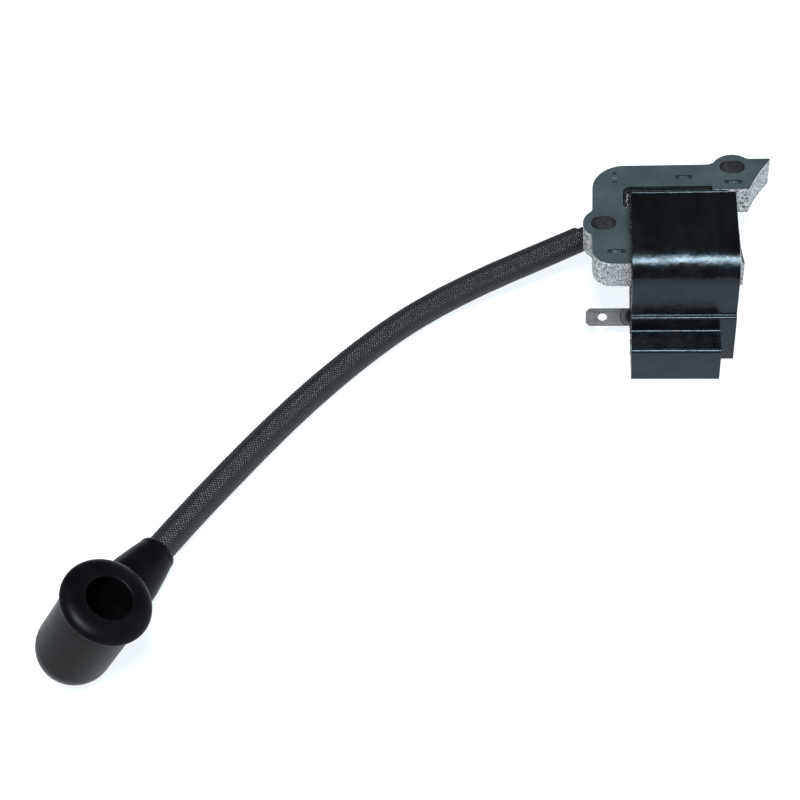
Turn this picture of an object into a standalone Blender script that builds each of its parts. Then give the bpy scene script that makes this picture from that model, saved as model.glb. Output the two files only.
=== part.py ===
# Ignition coil for a small engine: laminated steel core, moulded coil housing
# with its windings and circuit board, blade terminal, braided high-tension
# lead and elbow plug boot.  Metres, +Z up, resting on Z = 0.
import bpy
import bmesh
import math
from mathutils import Vector, Matrix

MM = 0.001

# ---------------------------------------------------------------- dimensions
# Plan positions are measured from the core's left edge (x) and from the back
# edge of its yoke (y); heights (z) from the floor.  SHIFT puts the module's
# bounding-box centre on the world axis.
SHIFT_X = -22.549
SHIFT_Y = 25.125

CORE_TOP = 26.2            # top face of the lamination stack
STACK = 8.5                # stack height
CORE_BOT = CORE_TOP - STACK
CORE_MID = (CORE_TOP + CORE_BOT) / 2
CORE_DEPTH = 36.7          # yoke back edge to front edge of the lower limb
YOKE_W = 8.2               # yoke width beside the window
YOKE_POLE_W = 9.73         # yoke width at the upper pole
STEP_X = 31.8              # where the yoke steps to the pole width
LIMB_R = 9.85              # right side of the left limb
NOTCH_X = 8.13             # left side of the notch cut into the limb
NOTCH_Y = 16.2             # front end of the notch
COIL_LIMB_W = 10.0         # width of the limb inside the coil
TIP_Y = 2.0                # height of the upper pole tip above the back edge
FLY_X, FLY_Y, FLY_R = 89.19, -28.13, 51.12   # flywheel sweep cut on the poles
EAR_R = 5.45               # outside radius of both mounting ears
EAR_A = (2.98, -21.8)      # left ear
EAR_B = (37.40, -1.70)     # right ear
SLOT_B = (37.40, -1.10)    # right slot centre
SLOT_A = (2.98, -21.8)     # left slot centre
SLOT_HL, SLOT_HW = 3.36, 2.51   # half length and half width of the slots

HOUSE_X0, HOUSE_X1 = 10.15, 37.0
HOUSE_BACK = -17.9
HOUSE_TOP = 33.8
HOUSE_FRONT = -45.5
HOUSE_ROUND = 8.0
LEDGE_Z0, LEDGE_Z1 = 16.2, 15.0
LOWER_FRONT = -46.6
BLOCK_TOP = 11.45
BLOCK_FRONT = -54.0
BLOCK_X1 = 33.0
WALL = 1.25
LIMB_Y = -CORE_DEPTH + COIL_LIMB_W / 2       # axis of the coil limb

GAP = 0.3
LEAD_R, INSUL_R, WIRE_R = 3.75, 2.9, 0.75
TOWER_X0, TOWER_X1 = 13.5, 31.5
TOWER_Y, TOWER_Z, TOWER_R = -8.4, 11.7, 4.7
FLOOR_AXIS = LEAD_R + 0.05

BOOT_E = (-120.31, -142.73, 9.36)            # elbow centre
ARM_LEN = 32.7
ARM_MOUTH = (-105.17, -112.23, 5.94)
PLUG_DIR = (0.530, 0.020, 0.848)
PLUG_LEN = 24.2
BOOT_R, FLANGE_R, BORE_R = 9.3, 11.0, 5.6

# ------------------------------------------------------------------- scene
for ob in list(bpy.data.objects):
    bpy.data.objects.remove(ob, do_unlink=True)
root = bpy.context.scene.collection
main = bpy.data.collections.new("ignition_coil")
root.children.link(main)
cutters = bpy.data.collections.new("cutters")
root.children.link(cutters)


def W(x, y, z):
    return Vector(((x + SHIFT_X) * MM, (y + SHIFT_Y) * MM, z * MM))


def material(name, color, metallic, rough):
    m = bpy.data.materials.new(name)
    m.use_nodes = True
    b = m.node_tree.nodes.get("Principled BSDF")
    b.inputs["Base Color"].default_value = (*color, 1.0)
    b.inputs["Metallic"].default_value = metallic
    b.inputs["Roughness"].default_value = rough
    return m


MATS = {}


def setup(ob, color=None, metallic=0.0, rough=0.5, cutter=False, smooth=False):
    if cutter:
        cutters.objects.link(ob)
        ob.hide_render = True
        ob.display_type = 'WIRE'
    else:
        main.objects.link(ob)
        ob.data.materials.append(material(ob.name, color, metallic, rough))
    if ob.type == 'MESH':
        for p in ob.data.polygons:
            p.use_smooth = smooth
    return ob


def arc(cx, cy, r, a0, a1, n):
    return [(cx + r * math.cos(math.radians(a0 + (a1 - a0) * i / n)),
             cy + r * math.sin(math.radians(a0 + (a1 - a0) * i / n)))
            for i in range(n + 1)]


def rounded(pts, seg=5):
    """Outline with a radius at each corner: pts are (x, y, r)."""
    out = []
    n = len(pts)
    for i in range(n):
        x, y, r = pts[i]
        p = Vector((x, y))
        if r <= 0:
            out.append((x, y))
            continue
        a = (Vector(pts[i - 1][:2]) - p).normalized()
        b = (Vector(pts[(i + 1) % n][:2]) - p).normalized()
        half = a.angle(b) / 2
        d = r / math.tan(half)
        c = p + (a + b).normalized() * (r / math.sin(half))
        s, e = p + a * d - c, p + b * d - c
        t0 = math.atan2(s.y, s.x)
        dt = math.atan2(e.y, e.x) - t0
        while dt > math.pi:
            dt -= 2 * math.pi
        while dt < -math.pi:
            dt += 2 * math.pi
        for k in range(seg + 1):
            t = t0 + dt * k / seg
            out.append((c.x + r * math.cos(t), c.y + r * math.sin(t)))
    return out


def rect(y0, y1, z0, z1, r=0.0, seg=4):
    return rounded([(y0, z0, r), (y1, z0, r), (y1, z1, r), (y0, z1, r)], seg)


def bake(ob, name):
    """Mesh copy of an object's evaluated shape, its transform applied."""
    bpy.context.view_layer.update()
    dg = bpy.context.evaluated_depsgraph_get()
    me = bpy.data.meshes.new_from_object(ob.evaluated_get(dg), depsgraph=dg)
    me.transform(ob.matrix_world)
    bm = bmesh.new()
    bm.from_mesh(me)
    bmesh.ops.remove_doubles(bm, verts=bm.verts, dist=2e-6)
    bmesh.ops.recalc_face_normals(bm, faces=bm.faces)
    bm.to_mesh(me)
    bm.free()
    bpy.data.objects.remove(ob, do_unlink=True)
    me.name = name
    me.materials.clear()
    return bpy.data.objects.new(name, me)


PLANES = {
    'XY': Matrix(((1, 0, 0), (0, 1, 0), (0, 0, 1))).to_4x4(),
    'YZ': Matrix(((0, 0, 1), (1, 0, 0), (0, 1, 0))).to_4x4(),
    'XZ': Matrix(((1, 0, 0), (0, 0, -1), (0, 1, 0))).to_4x4(),
}


def prism(name, loops, plane, lo, hi, **kw):
    """Flat outlines extruded between two planes (mm, module frame)."""
    cu = bpy.data.curves.new(name + "_outline", 'CURVE')
    cu.dimensions = '2D'
    cu.fill_mode = 'BOTH'
    cu.extrude = (hi - lo) / 2 * MM
    for loop in loops:
        sp = cu.splines.new('POLY')
        sp.points.add(len(loop) - 1)
        for p, (x, y) in zip(sp.points, loop):
            p.co = (x * MM, y * MM, 0, 1)
        sp.use_cyclic_u = True
    ob = bpy.data.objects.new(name + "_outline", cu)
    root.objects.link(ob)
    mid = (lo + hi) / 2 * MM
    off = {'XY': Vector((0, 0, mid)), 'YZ': Vector((mid, 0, 0)),
           'XZ': Vector((0, mid, 0))}[plane]
    ob.matrix_world = Matrix.Translation(W(0, 0, 0) + off) @ PLANES[plane]
    return setup(bake(ob, name), **kw)


def axis_matrix(p, d):
    d = Vector(d).normalized()
    q = d.to_track_quat('Z', 'Y')
    return Matrix.Translation(p) @ q.to_matrix().to_4x4()


def revolve(name, prof, p, d, steps=32, **kw):
    """Profile (r, z) from the top down, turned about direction d at p."""
    me = bpy.data.meshes.new(name + "_profile")
    me.from_pydata([(r * MM, 0, z * MM) for r, z in prof],
                   [(i, i + 1) for i in range(len(prof) - 1)], [])
    ob = bpy.data.objects.new(name + "_profile", me)
    root.objects.link(ob)
    s = ob.modifiers.new("Screw", 'SCREW')
    s.angle = 2 * math.pi
    s.steps = steps
    s.render_steps = steps
    s.use_merge_vertices = True
    s.merge_threshold = 1e-6
    ob.matrix_world = axis_matrix(p, d)
    kw.setdefault('smooth', True)
    return setup(bake(ob, name), **kw)


def box(name, x0, x1, y0, y1, z0, z1, rot=None, **kw):
    me = bpy.data.meshes.new(name)
    bm = bmesh.new()
    bmesh.ops.create_cube(bm, size=1.0)
    c = W((x0 + x1) / 2, (y0 + y1) / 2, (z0 + z1) / 2)
    m = Matrix.Diagonal(((x1 - x0) * MM, (y1 - y0) * MM, (z1 - z0) * MM, 1))
    if rot is not None:
        m = rot @ m
    bm.transform(Matrix.Translation(c) @ m)
    bmesh.ops.recalc_face_normals(bm, faces=bm.faces)
    bm.to_mesh(me)
    bm.free()
    return setup(bpy.data.objects.new(name, me), **kw)


def cyl(name, p, q, r, steps=24, **kw):
    """Cylinder between two module-frame points."""
    a, b = W(*p), W(*q)
    h = (b - a).length / MM
    return revolve(name, [(0, h), (r, h), (r, 0), (0, 0)], a, b - a, steps, **kw)


def boolean(ob, cutter, op='DIFFERENCE'):
    m = ob.modifiers.new(op.title(), 'BOOLEAN')
    m.solver = 'EXACT'
    m.operation = op
    m.object = cutter
    return ob


def tube(name, pts, r, res=3, **kw):
    """Round wire along world points; returned as a mesh."""
    cu = bpy.data.curves.new(name + "_path", 'CURVE')
    cu.dimensions = '3D'
    cu.bevel_depth = r * MM
    cu.bevel_resolution = res
    cu.use_fill_caps = True
    sp = cu.splines.new('POLY')
    sp.points.add(len(pts) - 1)
    for p, c in zip(sp.points, pts):
        p.co = (*c, 1)
    ob = bpy.data.objects.new(name + "_path", cu)
    root.objects.link(ob)
    kw.setdefault('smooth', True)
    return setup(bake(ob, name), **kw)


# ------------------------------------------------------------ laminated core
def fly_x(y):
    return FLY_X - math.sqrt(FLY_R ** 2 - (y - FLY_Y) ** 2)


def fly_arc(y0, y1, n):
    return [(fly_x(y0 + (y1 - y0) * i / n), y0 + (y1 - y0) * i / n)
            for i in range(n + 1)]


def ear_fillet(cx, cy, r, f, edge, side, axis):
    """Concave fillet of radius f between an ear circle and a straight edge."""
    if axis == 'x':           # vertical edge at x = edge, ear bulging to -x
        fx = edge - f
        dy = math.sqrt((r + f) ** 2 - (fx - cx) ** 2) * side
        fy = cy + dy
        ang = math.degrees(math.atan2(cy - fy, cx - fx))
        return (fx, fy), ang, 0.0
    fy = edge + f             # horizontal edge at y = edge, ear bulging to +y
    dx = math.sqrt((r + f) ** 2 - (fy - cy) ** 2) * side
    fx = cx + dx
    ang = math.degrees(math.atan2(cy - fy, cx - fx))
    return (fx, fy), ang, -90.0


def core_outline():
    out = []
    # top-left corner, then left edge down to the left ear
    out += arc(8.6, -8.6, 8.6, 90, 180, 10)
    f = 1.6
    (fx, fy), ang, _ = ear_fillet(*EAR_A, EAR_R, f, 0.0, +1, 'x')
    out += arc(fx, fy, f, 0, ang, 4)
    a_in = math.degrees(math.atan2(fy - EAR_A[1], fx - EAR_A[0]))
    (gx, gy), bng, _ = ear_fillet(*EAR_A, EAR_R, f, 0.0, -1, 'x')
    a_out = math.degrees(math.atan2(gy - EAR_A[1], gx - EAR_A[0])) + 360
    out += arc(*EAR_A, EAR_R, a_in, a_out, 14)[1:-1]
    out += arc(gx, gy, f, bng, 0, 4)
    # bottom-left corner and front edge to the lower pole
    out += arc(5.2, -CORE_DEPTH + 5.2, 5.2, 180, 270, 8)
    lower_back = -CORE_DEPTH + COIL_LIMB_W
    out += fly_arc(-CORE_DEPTH, lower_back, 8)
    # inner side: coil limb, limb, notch, window corner, yoke
    out += rounded([(fly_x(lower_back), lower_back, 0), (LIMB_R, lower_back, 0.8),
                    (LIMB_R, -NOTCH_Y, 0), (NOTCH_X, -NOTCH_Y, 1.2),
                    (NOTCH_X, -YOKE_W, 2.0), (STEP_X, -YOKE_W, 0),
                    (STEP_X, -YOKE_POLE_W, 0), (fly_x(-YOKE_POLE_W), -YOKE_POLE_W, 0)], 4)[1:-1]
    # upper pole face, tip, right ear
    out += fly_arc(-YOKE_POLE_W, TIP_Y - 0.45, 9)
    out += [(fly_x(TIP_Y) - 0.5, TIP_Y)]
    f2 = 3.0
    (hx, hy), hng, _ = ear_fillet(*EAR_B, EAR_R, 2.2, TIP_Y, +1, 'y')
    out += arc(hx, hy, 2.2, -90, hng, 4)
    b_in = math.degrees(math.atan2(hy - EAR_B[1], hx - EAR_B[0]))
    (kx, ky), kng, _ = ear_fillet(*EAR_B, EAR_R, f2, 0.0, -1, 'y')
    b_out = math.degrees(math.atan2(ky - EAR_B[1], kx - EAR_B[0]))
    out += arc(*EAR_B, EAR_R, b_in, b_out, 12)[1:-1]
    out += arc(kx, ky, f2, kng, -90, 5)
    return out


def slot(c):
    s = SLOT_HL - SLOT_HW
    return (arc(c[0] + s, c[1], SLOT_HW, -90, 90, 10)
            + arc(c[0] - s, c[1], SLOT_HW, 90, 270, 10))


core = prism("core_stack", [core_outline(), slot(SLOT_A), slot(SLOT_B)], 'XY',
             CORE_BOT, CORE_TOP, color=(0.09, 0.11, 0.115), metallic=0.7, rough=0.45)
STAKES = [(6.02, -4.6, 1.2, 3.8), (24.4, -4.7, 4.6, 1.3),
          (37.4, -6.9, 4.9, 1.4), (6.25, -32.2, 4.9, 1.4)]
for i, (x, y, sx, sy) in enumerate(STAKES):
    boolean(core, box("cut_stake_%d" % i, x - sx / 2, x + sx / 2, y - sy / 2,
                      y + sy / 2, CORE_TOP - 0.35, CORE_TOP + 0.5, cutter=True))

# ------------------------------------------------------------- coil housing
profile = rounded([
    (HOUSE_BACK, 0, 0.8), (HOUSE_BACK, HOUSE_TOP, 0.9),
    (HOUSE_FRONT, HOUSE_TOP, HOUSE_ROUND), (HOUSE_FRONT, LEDGE_Z0, 0.4),
    (LOWER_FRONT, LEDGE_Z1, 0.7), (LOWER_FRONT, BLOCK_TOP, 0.6),
    (BLOCK_FRONT, BLOCK_TOP, 0.9), (BLOCK_FRONT, 0, 0.8)], 5)
housing = prism("coil_housing", [profile], 'YZ', HOUSE_X0, HOUSE_X1,
                color=(0.012, 0.013, 0.015), metallic=0.0, rough=0.16)
boolean(housing, box("cut_block_end", BLOCK_X1, HOUSE_X1 + 2, BLOCK_FRONT - 2,
                     LOWER_FRONT, -2, BLOCK_TOP + 1.2, cutter=True))
tower = rounded([(HOUSE_BACK - 0.6, TOWER_Z - TOWER_R, 0), (TOWER_Y + TOWER_R, TOWER_Z - TOWER_R, 4.2),
                 (TOWER_Y + TOWER_R, TOWER_Z + TOWER_R, 4.2), (HOUSE_BACK - 0.6, TOWER_Z + TOWER_R, 0)], 6)
boolean(housing, prism("add_tower", [tower], 'YZ', TOWER_X0, TOWER_X1, cutter=True), 'UNION')
cav_y0, cav_y1 = HOUSE_BACK - WALL, HOUSE_FRONT + WALL
cavity = rounded([
    (cav_y0, WALL, 0.4), (cav_y0, HOUSE_TOP - WALL, 0.4),
    (cav_y1, HOUSE_TOP - WALL, HOUSE_ROUND - WALL), (cav_y1, BLOCK_TOP - WALL, 0),
    (BLOCK_FRONT + WALL, BLOCK_TOP - WALL, 0.3), (BLOCK_FRONT + WALL, WALL, 0.3)], 5)
boolean(housing, prism("cut_cavity", [cavity], 'YZ', HOUSE_X0 - 1, BLOCK_X1 - WALL, cutter=True))
cavity_r = rounded([
    (cav_y0, WALL, 0.4), (cav_y0, HOUSE_TOP - WALL, 0.4),
    (cav_y1, HOUSE_TOP - WALL, HOUSE_ROUND - WALL), (cav_y1, WALL, 0.3)], 5)
boolean(housing, prism("cut_cavity_end", [cavity_r], 'YZ', BLOCK_X1 - WALL - 1.0,
                       HOUSE_X1 - WALL, cutter=True))
LHY, LHZ = COIL_LIMB_W / 2, STACK / 2
SPOOL_Y, SPOOL_Z = LHY + GAP + 0.7, LHZ + GAP + 0.7
boolean(housing, box("cut_limb_window", HOUSE_X1 - 3, HOUSE_X1 + 1,
                     LIMB_Y - SPOOL_Y - GAP, LIMB_Y + SPOOL_Y + GAP,
                     CORE_MID - SPOOL_Z - GAP, CORE_MID + SPOOL_Z + GAP, cutter=True))
boolean(housing, cyl("cut_tower_bore", (TOWER_X0 - 1, TOWER_Y, TOWER_Z),
                     (28.6, TOWER_Y, TOWER_Z), INSUL_R + GAP, 20, cutter=True))
boolean(housing, cyl("cut_tower_pocket", (27.5, TOWER_Y, TOWER_Z),
                     (30.4, TOWER_Y, TOWER_Z), 1.3, 16, cutter=True))
boolean(housing, cyl("cut_tower_cross", (29.4, TOWER_Y, TOWER_Z),
                     (29.4, HOUSE_BACK - 3, TOWER_Z), 0.9, 16, cutter=True))
boolean(housing, cyl("cut_seal_seat", (TOWER_X0 - 1, TOWER_Y, TOWER_Z),
                     (TOWER_X0 + 2.0, TOWER_Y, TOWER_Z), 3.95, 20, cutter=True))


def nested(dy, dz, r):
    return rect(LIMB_Y - dy, LIMB_Y + dy, CORE_MID - dz, CORE_MID + dz, r)


# potting at the open end of the housing
pot_loop = rounded([
    (cav_y0 - GAP, WALL + GAP, 0.3), (cav_y0 - GAP, HOUSE_TOP - WALL - GAP, 0.3),
    (cav_y1 + GAP, HOUSE_TOP - WALL - GAP, HOUSE_ROUND - WALL - GAP),
    (cav_y1 + GAP, BLOCK_TOP - WALL - GAP, 0),
    (BLOCK_FRONT + WALL + GAP, BLOCK_TOP - WALL - GAP, 0.2),
    (BLOCK_FRONT + WALL + GAP, WALL + GAP, 0.2)], 5)
FL_Y, FL_Z = 11.3, 10.3
potting = prism("potting_compound", [pot_loop, nested(SPOOL_Y + GAP, SPOOL_Z + GAP, 0.5)],
                'YZ', HOUSE_X0 + 0.15, HOUSE_X0 + 2.9, color=(0.10, 0.085, 0.07), rough=0.7)

# ------------------------------------------------------- bobbins and windings
B_X0, B_X1 = HOUSE_X0 + 3.2, HOUSE_X1 - WALL - GAP
spool = prism("primary_bobbin", [nested(LHY + GAP + 1.9, LHZ + GAP + 1.9, 0.6),
                                 nested(LHY + GAP, LHZ + GAP, 0.0)], 'YZ',
              B_X0, B_X1, color=(0.45, 0.46, 0.47), rough=0.45)
P_Y, P_Z = SPOOL_Y + GAP, SPOOL_Z + GAP
boolean(spool, prism("cut_primary_space", [nested(14, 14, 0), nested(SPOOL_Y, SPOOL_Z, 0.4)],
                     'YZ', B_X0 + 0.9, B_X1 - 0.9, cutter=True))
# collars: the spool tube runs out through the end wall and the potting
boolean(spool, prism("add_collar_right", [nested(SPOOL_Y, SPOOL_Z, 0.4), nested(LHY + GAP, LHZ + GAP, 0)],
                     'YZ', B_X1 - 0.5, HOUSE_X1 + 0.9, cutter=True), 'UNION')
boolean(spool, prism("add_collar_left", [nested(SPOOL_Y, SPOOL_Z, 0.4), nested(LHY + GAP, LHZ + GAP, 0)],
                     'YZ', HOUSE_X0 + 0.3, B_X0 + 0.5, cutter=True), 'UNION')
prism("primary_winding", [nested(P_Y + 0.9, P_Z + 0.9, 0.8), nested(P_Y, P_Z, 0.5)], 'YZ',
      B_X0 + 1.2, B_X1 - 1.2, color=(0.42, 0.12, 0.04), metallic=0.8, rough=0.35)
S_Y, S_Z = LHY + GAP + 1.9 + GAP, LHZ + GAP + 1.9 + GAP      # inside of second bobbin
S2_Y, S2_Z = S_Y + 0.7, S_Z + 0.7
sec = prism("secondary_bobbin", [nested(FL_Y, FL_Z, 5.4), nested(S_Y, S_Z, 0.6)], 'YZ',
            B_X0, B_X1, color=(0.62, 0.60, 0.53), rough=0.5)
SECTIONS = 3
pitch = (B_X1 - B_X0 - 0.8) / SECTIONS
for i in range(SECTIONS):
    x0 = B_X0 + 0.8 + i * pitch
    x1 = x0 + pitch - 0.8
    boolean(sec, prism("cut_section_%d" % i, [nested(14, 14, 0), nested(S2_Y, S2_Z, 0.5)],
                       'YZ', x0, x1, cutter=True))
    prism("secondary_winding_%d" % (i + 1),
          [nested(FL_Y - 0.5, FL_Z - 0.5, 5.0), nested(S2_Y + GAP, S2_Z + GAP, 0.6)], 'YZ',
          x0 + GAP, x1 - GAP, color=(0.50, 0.20, 0.07), metallic=0.7, rough=0.35)

# ---------------------------------------------------------------- electronics
PCB_Z0, PCB_Z1 = 1.9, 3.0
box("circuit_board", 13.6, 35.0, -44.0, -20.2, PCB_Z0, PCB_Z1, color=(0.03, 0.16, 0.06), rough=0.4)
TOPZ = PCB_Z1 + GAP


def with_legs(name, body, legs):
    """A component body joined to its wire legs as one piece."""
    ob = body
    for k, leg in enumerate(legs):
        boolean(ob, cyl("%s_leg_%d" % (name, k), *leg, 0.3, 8, cutter=True), 'UNION')
    return ob


t1 = prism("switching_transistor",
           [rounded([(18.5, 4.4, 0.2), (28.5, 4.4, 0.2), (28.5, 9.6, 0.2), (18.5, 9.6, 0.2)], 2)],
           'XZ', -51.6, -47.6, color=(0.015, 0.015, 0.017), rough=0.4)
with_legs("switching_transistor", t1,
          [((21.0 + 2.5 * k, -49.6, 5.0), (21.0 + 2.5 * k, -49.6, 1.9)) for k in range(3)])
t2 = prism("trigger_transistor", [rounded([(31.0, -41.5, 0.8), (34.5, -41.5, 0.8), (34.5, -37.0, 0.3), (31.0, -37.0, 0.3)], 4)],
           'XY', TOPZ + 1.2, TOPZ + 5.4, color=(0.015, 0.015, 0.017), rough=0.4)
with_legs("trigger_transistor", t2,
          [((32.75, -40.7 + 1.45 * k, TOPZ + 2), (32.75, -40.7 + 1.45 * k, TOPZ)) for k in range(3)])


def axial(name, x, y, z, r, ln, color, rough=0.35):
    """A lead-through component lying along x with bent-down wire ends."""
    pts = [(0, ln / 2), (r * 0.75, ln / 2), (r, ln / 2 - 0.35), (r, -ln / 2 + 0.35),
           (r * 0.75, -ln / 2), (0, -ln / 2)]
    body = revolve(name, pts, W(x, y, z), (1, 0, 0), 16, color=color, rough=rough)
    h = ln / 2 + 1.4
    wire = [W(x - h, y, TOPZ), W(x - h, y, z - 0.5), W(x - h + 0.5, y, z), W(x + h - 0.5, y, z),
            W(x + h, y, z - 0.5), W(x + h, y, TOPZ)]
    boolean(body, tube(name + "_wire", wire, 0.28, 1, cutter=True), 'UNION')
    return body


axial("flyback_diode", 25.5, -41.6, TOPZ + 1.8, 1.3, 5.0, (0.02, 0.02, 0.022))
axial("base_resistor", 25.5, -37.6, TOPZ + 1.6, 1.1, 6.0, (0.42, 0.30, 0.17))
axial("timing_resistor", 25.5, -33.8, TOPZ + 1.6, 1.1, 6.0, (0.42, 0.30, 0.17))
cap = prism("timing_capacitor", [rounded([(20.5, TOPZ + 0.8, 0.5), (28.5, TOPZ + 0.8, 0.5),
                                          (28.5, TOPZ + 6.6, 0.5), (20.5, TOPZ + 6.6, 0.5)], 3)],
            'XZ', -28.6, -24.4, color=(0.40, 0.05, 0.03), rough=0.3)
with_legs("timing_capacitor", cap,
          [((x, -26.5, TOPZ + 2), (x, -26.5, TOPZ)) for x in (22.0, 27.0)])

# -------------------------------------------------- blade terminal and ground
TAB_Y, TAB_Z, TAB_TILT = -36.75, 5.55, 12.0
rot = Matrix.Rotation(math.radians(TAB_TILT), 4, 'X')
TW = 2.4
tab_loop = [(-1.75, -TW + 0.95), (-1.75, TW - 0.95), (-0.7, TW), (16.5, TW), (16.5, -TW), (-0.7, -TW)]


def tilted_prism(name, loops, thick, rotm, x, y, z, **kw):
    ob = prism(name + "_flat", loops, 'XY', -thick / 2, thick / 2, cutter=True)
    me = ob.data
    me.name = name
    me.transform(Matrix.Translation(-W(0, 0, 0)))
    me.transform(rotm)
    me.transform(Matrix.Translation(W(x, y, z)))
    bpy.data.objects.remove(ob, do_unlink=True)
    return setup(bpy.data.objects.new(name, me), **kw)


tab = tilted_prism("kill_terminal", [tab_loop, arc(2.7, 0, 1.28, 0, 360 - 15, 23)], 0.8, rot,
                   0, TAB_Y, TAB_Z, color=(0.36, 0.37, 0.37), metallic=0.9, rough=0.35)
boolean(potting, tilted_prism("cut_terminal_slot",
                              [[(8, -TW - GAP), (8, TW + GAP), (15, TW + GAP), (15, -TW - GAP)]],
                              0.8 + 2 * GAP, rot, 0, TAB_Y, TAB_Z, cutter=True))
# ground strap in the notch of the limb
box("ground_strap", NOTCH_X + GAP, HOUSE_X0 + 0.15 - GAP, -15.0, -11.2, CORE_BOT + 0.6, CORE_TOP - 0.9,
    color=(0.40, 0.33, 0.22), metallic=0.8, rough=0.4)

# ---------------------------------------------------------- high-tension lead
elbow = Vector(BOOT_E)
mouth = Vector(ARM_MOUTH)
arm = (mouth - elbow).normalized()
ROUTE = [(TOWER_X0 + 14.5, TOWER_Y, TOWER_Z), (TOWER_X0, TOWER_Y, TOWER_Z), (5.0, -9.35, TOWER_Z),
         (-2.7, -12.9, 11.6), (-13.0, -18.2, 10.8), (-26.55, -23.65, 8.2),
         (-39.75, -29.65, 5.4), (-52.05, -38.3, 4.0), (-63.05, -49.5, FLOOR_AXIS),
         (-73.05, -61.5, FLOOR_AXIS), (-82.2, -73.9, FLOOR_AXIS), (-90.6, -86.35, FLOOR_AXIS),
         (-98.3, -99.0, 4.35), tuple(mouth), tuple(elbow + arm * 20), tuple(elbow + arm * 7.3)]


def spline_through(pts, step):
    """Natural cubic spline through the points, sampled about every step mm."""
    P = [Vector(p) for p in pts]
    t = [0.0]
    for a, b in zip(P, P[1:]):
        t.append(t[-1] + (b - a).length)
    n = len(P)
    h = [t[i + 1] - t[i] for i in range(n - 1)]
    res = []
    for ax in range(3):
        y = [p[ax] for p in P]
        a = [0.0] * n
        for i in range(1, n - 1):
            a[i] = 3 * (y[i + 1] - y[i]) / h[i] - 3 * (y[i] - y[i - 1]) / h[i - 1]
        low, mu, z = [1.0] * n, [0.0] * n, [0.0] * n
        for i in range(1, n - 1):
            low[i] = 2 * (t[i + 1] - t[i - 1]) - h[i - 1] * mu[i - 1]
            mu[i] = h[i] / low[i]
            z[i] = (a[i] - h[i - 1] * z[i - 1]) / low[i]
        c, b_, d_ = [0.0] * n, [0.0] * n, [0.0] * n
        for j in range(n - 2, -1, -1):
            c[j] = z[j] - mu[j] * c[j + 1]
            b_[j] = (y[j + 1] - y[j]) / h[j] - h[j] * (c[j + 1] + 2 * c[j]) / 3
            d_[j] = (c[j + 1] - c[j]) / (3 * h[j])
        res.append((y, b_, c, d_))
    total = t[-1]
    m = max(2, int(round(total / step)))

    def at(s):
        s = min(max(s, 0.0), total)
        i = 0
        while i < n - 2 and s > t[i + 1]:
            i += 1
        u = s - t[i]
        return Vector([r[0][i] + r[1][i] * u + r[2][i] * u * u + r[3][i] * u ** 3 for r in res])
    return at, total


at, total = spline_through(ROUTE, 6.0)


def samples(s0, s1, n):
    return [W(*at(s0 + (s1 - s0) * i / (n - 1))) for i in range(n)]


def s_near(x):
    """Route length at which the lead first reaches module x going left."""
    s = 0.0
    while at(s).x > x and s < total:
        s += 0.05
    return s


s_sleeve0 = s_near(-3.4)
s_sleeve1 = total - (ARM_LEN - 7.3) + 7.0
insul = tube("lead_insulation", samples(0.0, total, 46), INSUL_R, 2,
             color=(0.03, 0.03, 0.032), rough=0.45)
bore_path = ([W(*(at(0) + (at(0) - at(0.5)).normalized()))] + samples(0.0, total, 46)
             + [W(*(elbow + arm * 6.3))])
boolean(insul, tube("cut_insulation_bore", bore_path, WIRE_R + GAP, 2, cutter=True))
tube("lead_conductor", samples(0.0, total, 46), WIRE_R, 1,
     color=(0.55, 0.27, 0.12), metallic=0.9, rough=0.3)
n_sl = 34
sleeve_pts = samples(s_sleeve0, s_sleeve1, n_sl)
sleeve = tube("lead_sleeve", sleeve_pts, LEAD_R, 2, color=(0.02, 0.02, 0.022), rough=0.8)
ends = [sleeve_pts[0] + (sleeve_pts[0] - sleeve_pts[1]).normalized() * 0.001]
ende = [sleeve_pts[-1] + (sleeve_pts[-1] - sleeve_pts[-2]).normalized() * 0.001]
boolean(sleeve, tube("cut_sleeve_bore", ends + sleeve_pts + ende, INSUL_R + 0.28, 2, cutter=True))

# tapered rubber seal where the lead leaves the housing
seal_prof = [(INSUL_R + GAP, 5.0), (INSUL_R + 0.75, 5.0), (3.62, 0.3), (3.62, -1.6), (INSUL_R + GAP, -1.6), (INSUL_R + GAP, 5.0)]
revolve("lead_seal", seal_prof, W(TOWER_X0, TOWER_Y, TOWER_Z), (-1, 0, 0), 24,
        color=(0.02, 0.02, 0.02), rough=0.7)

# secondary's high-voltage pin, bent from the winding to the lead
tube("ht_pin", [W(28.5, TOWER_Y, TOWER_Z), W(29.15, TOWER_Y - 0.08, TOWER_Z),
                W(29.4, TOWER_Y - 0.7, TOWER_Z), W(29.4, HOUSE_BACK - 1.9, TOWER_Z)],
     0.45, 2, color=(0.6, 0.6, 0.6), metallic=0.9, rough=0.3)

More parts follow.
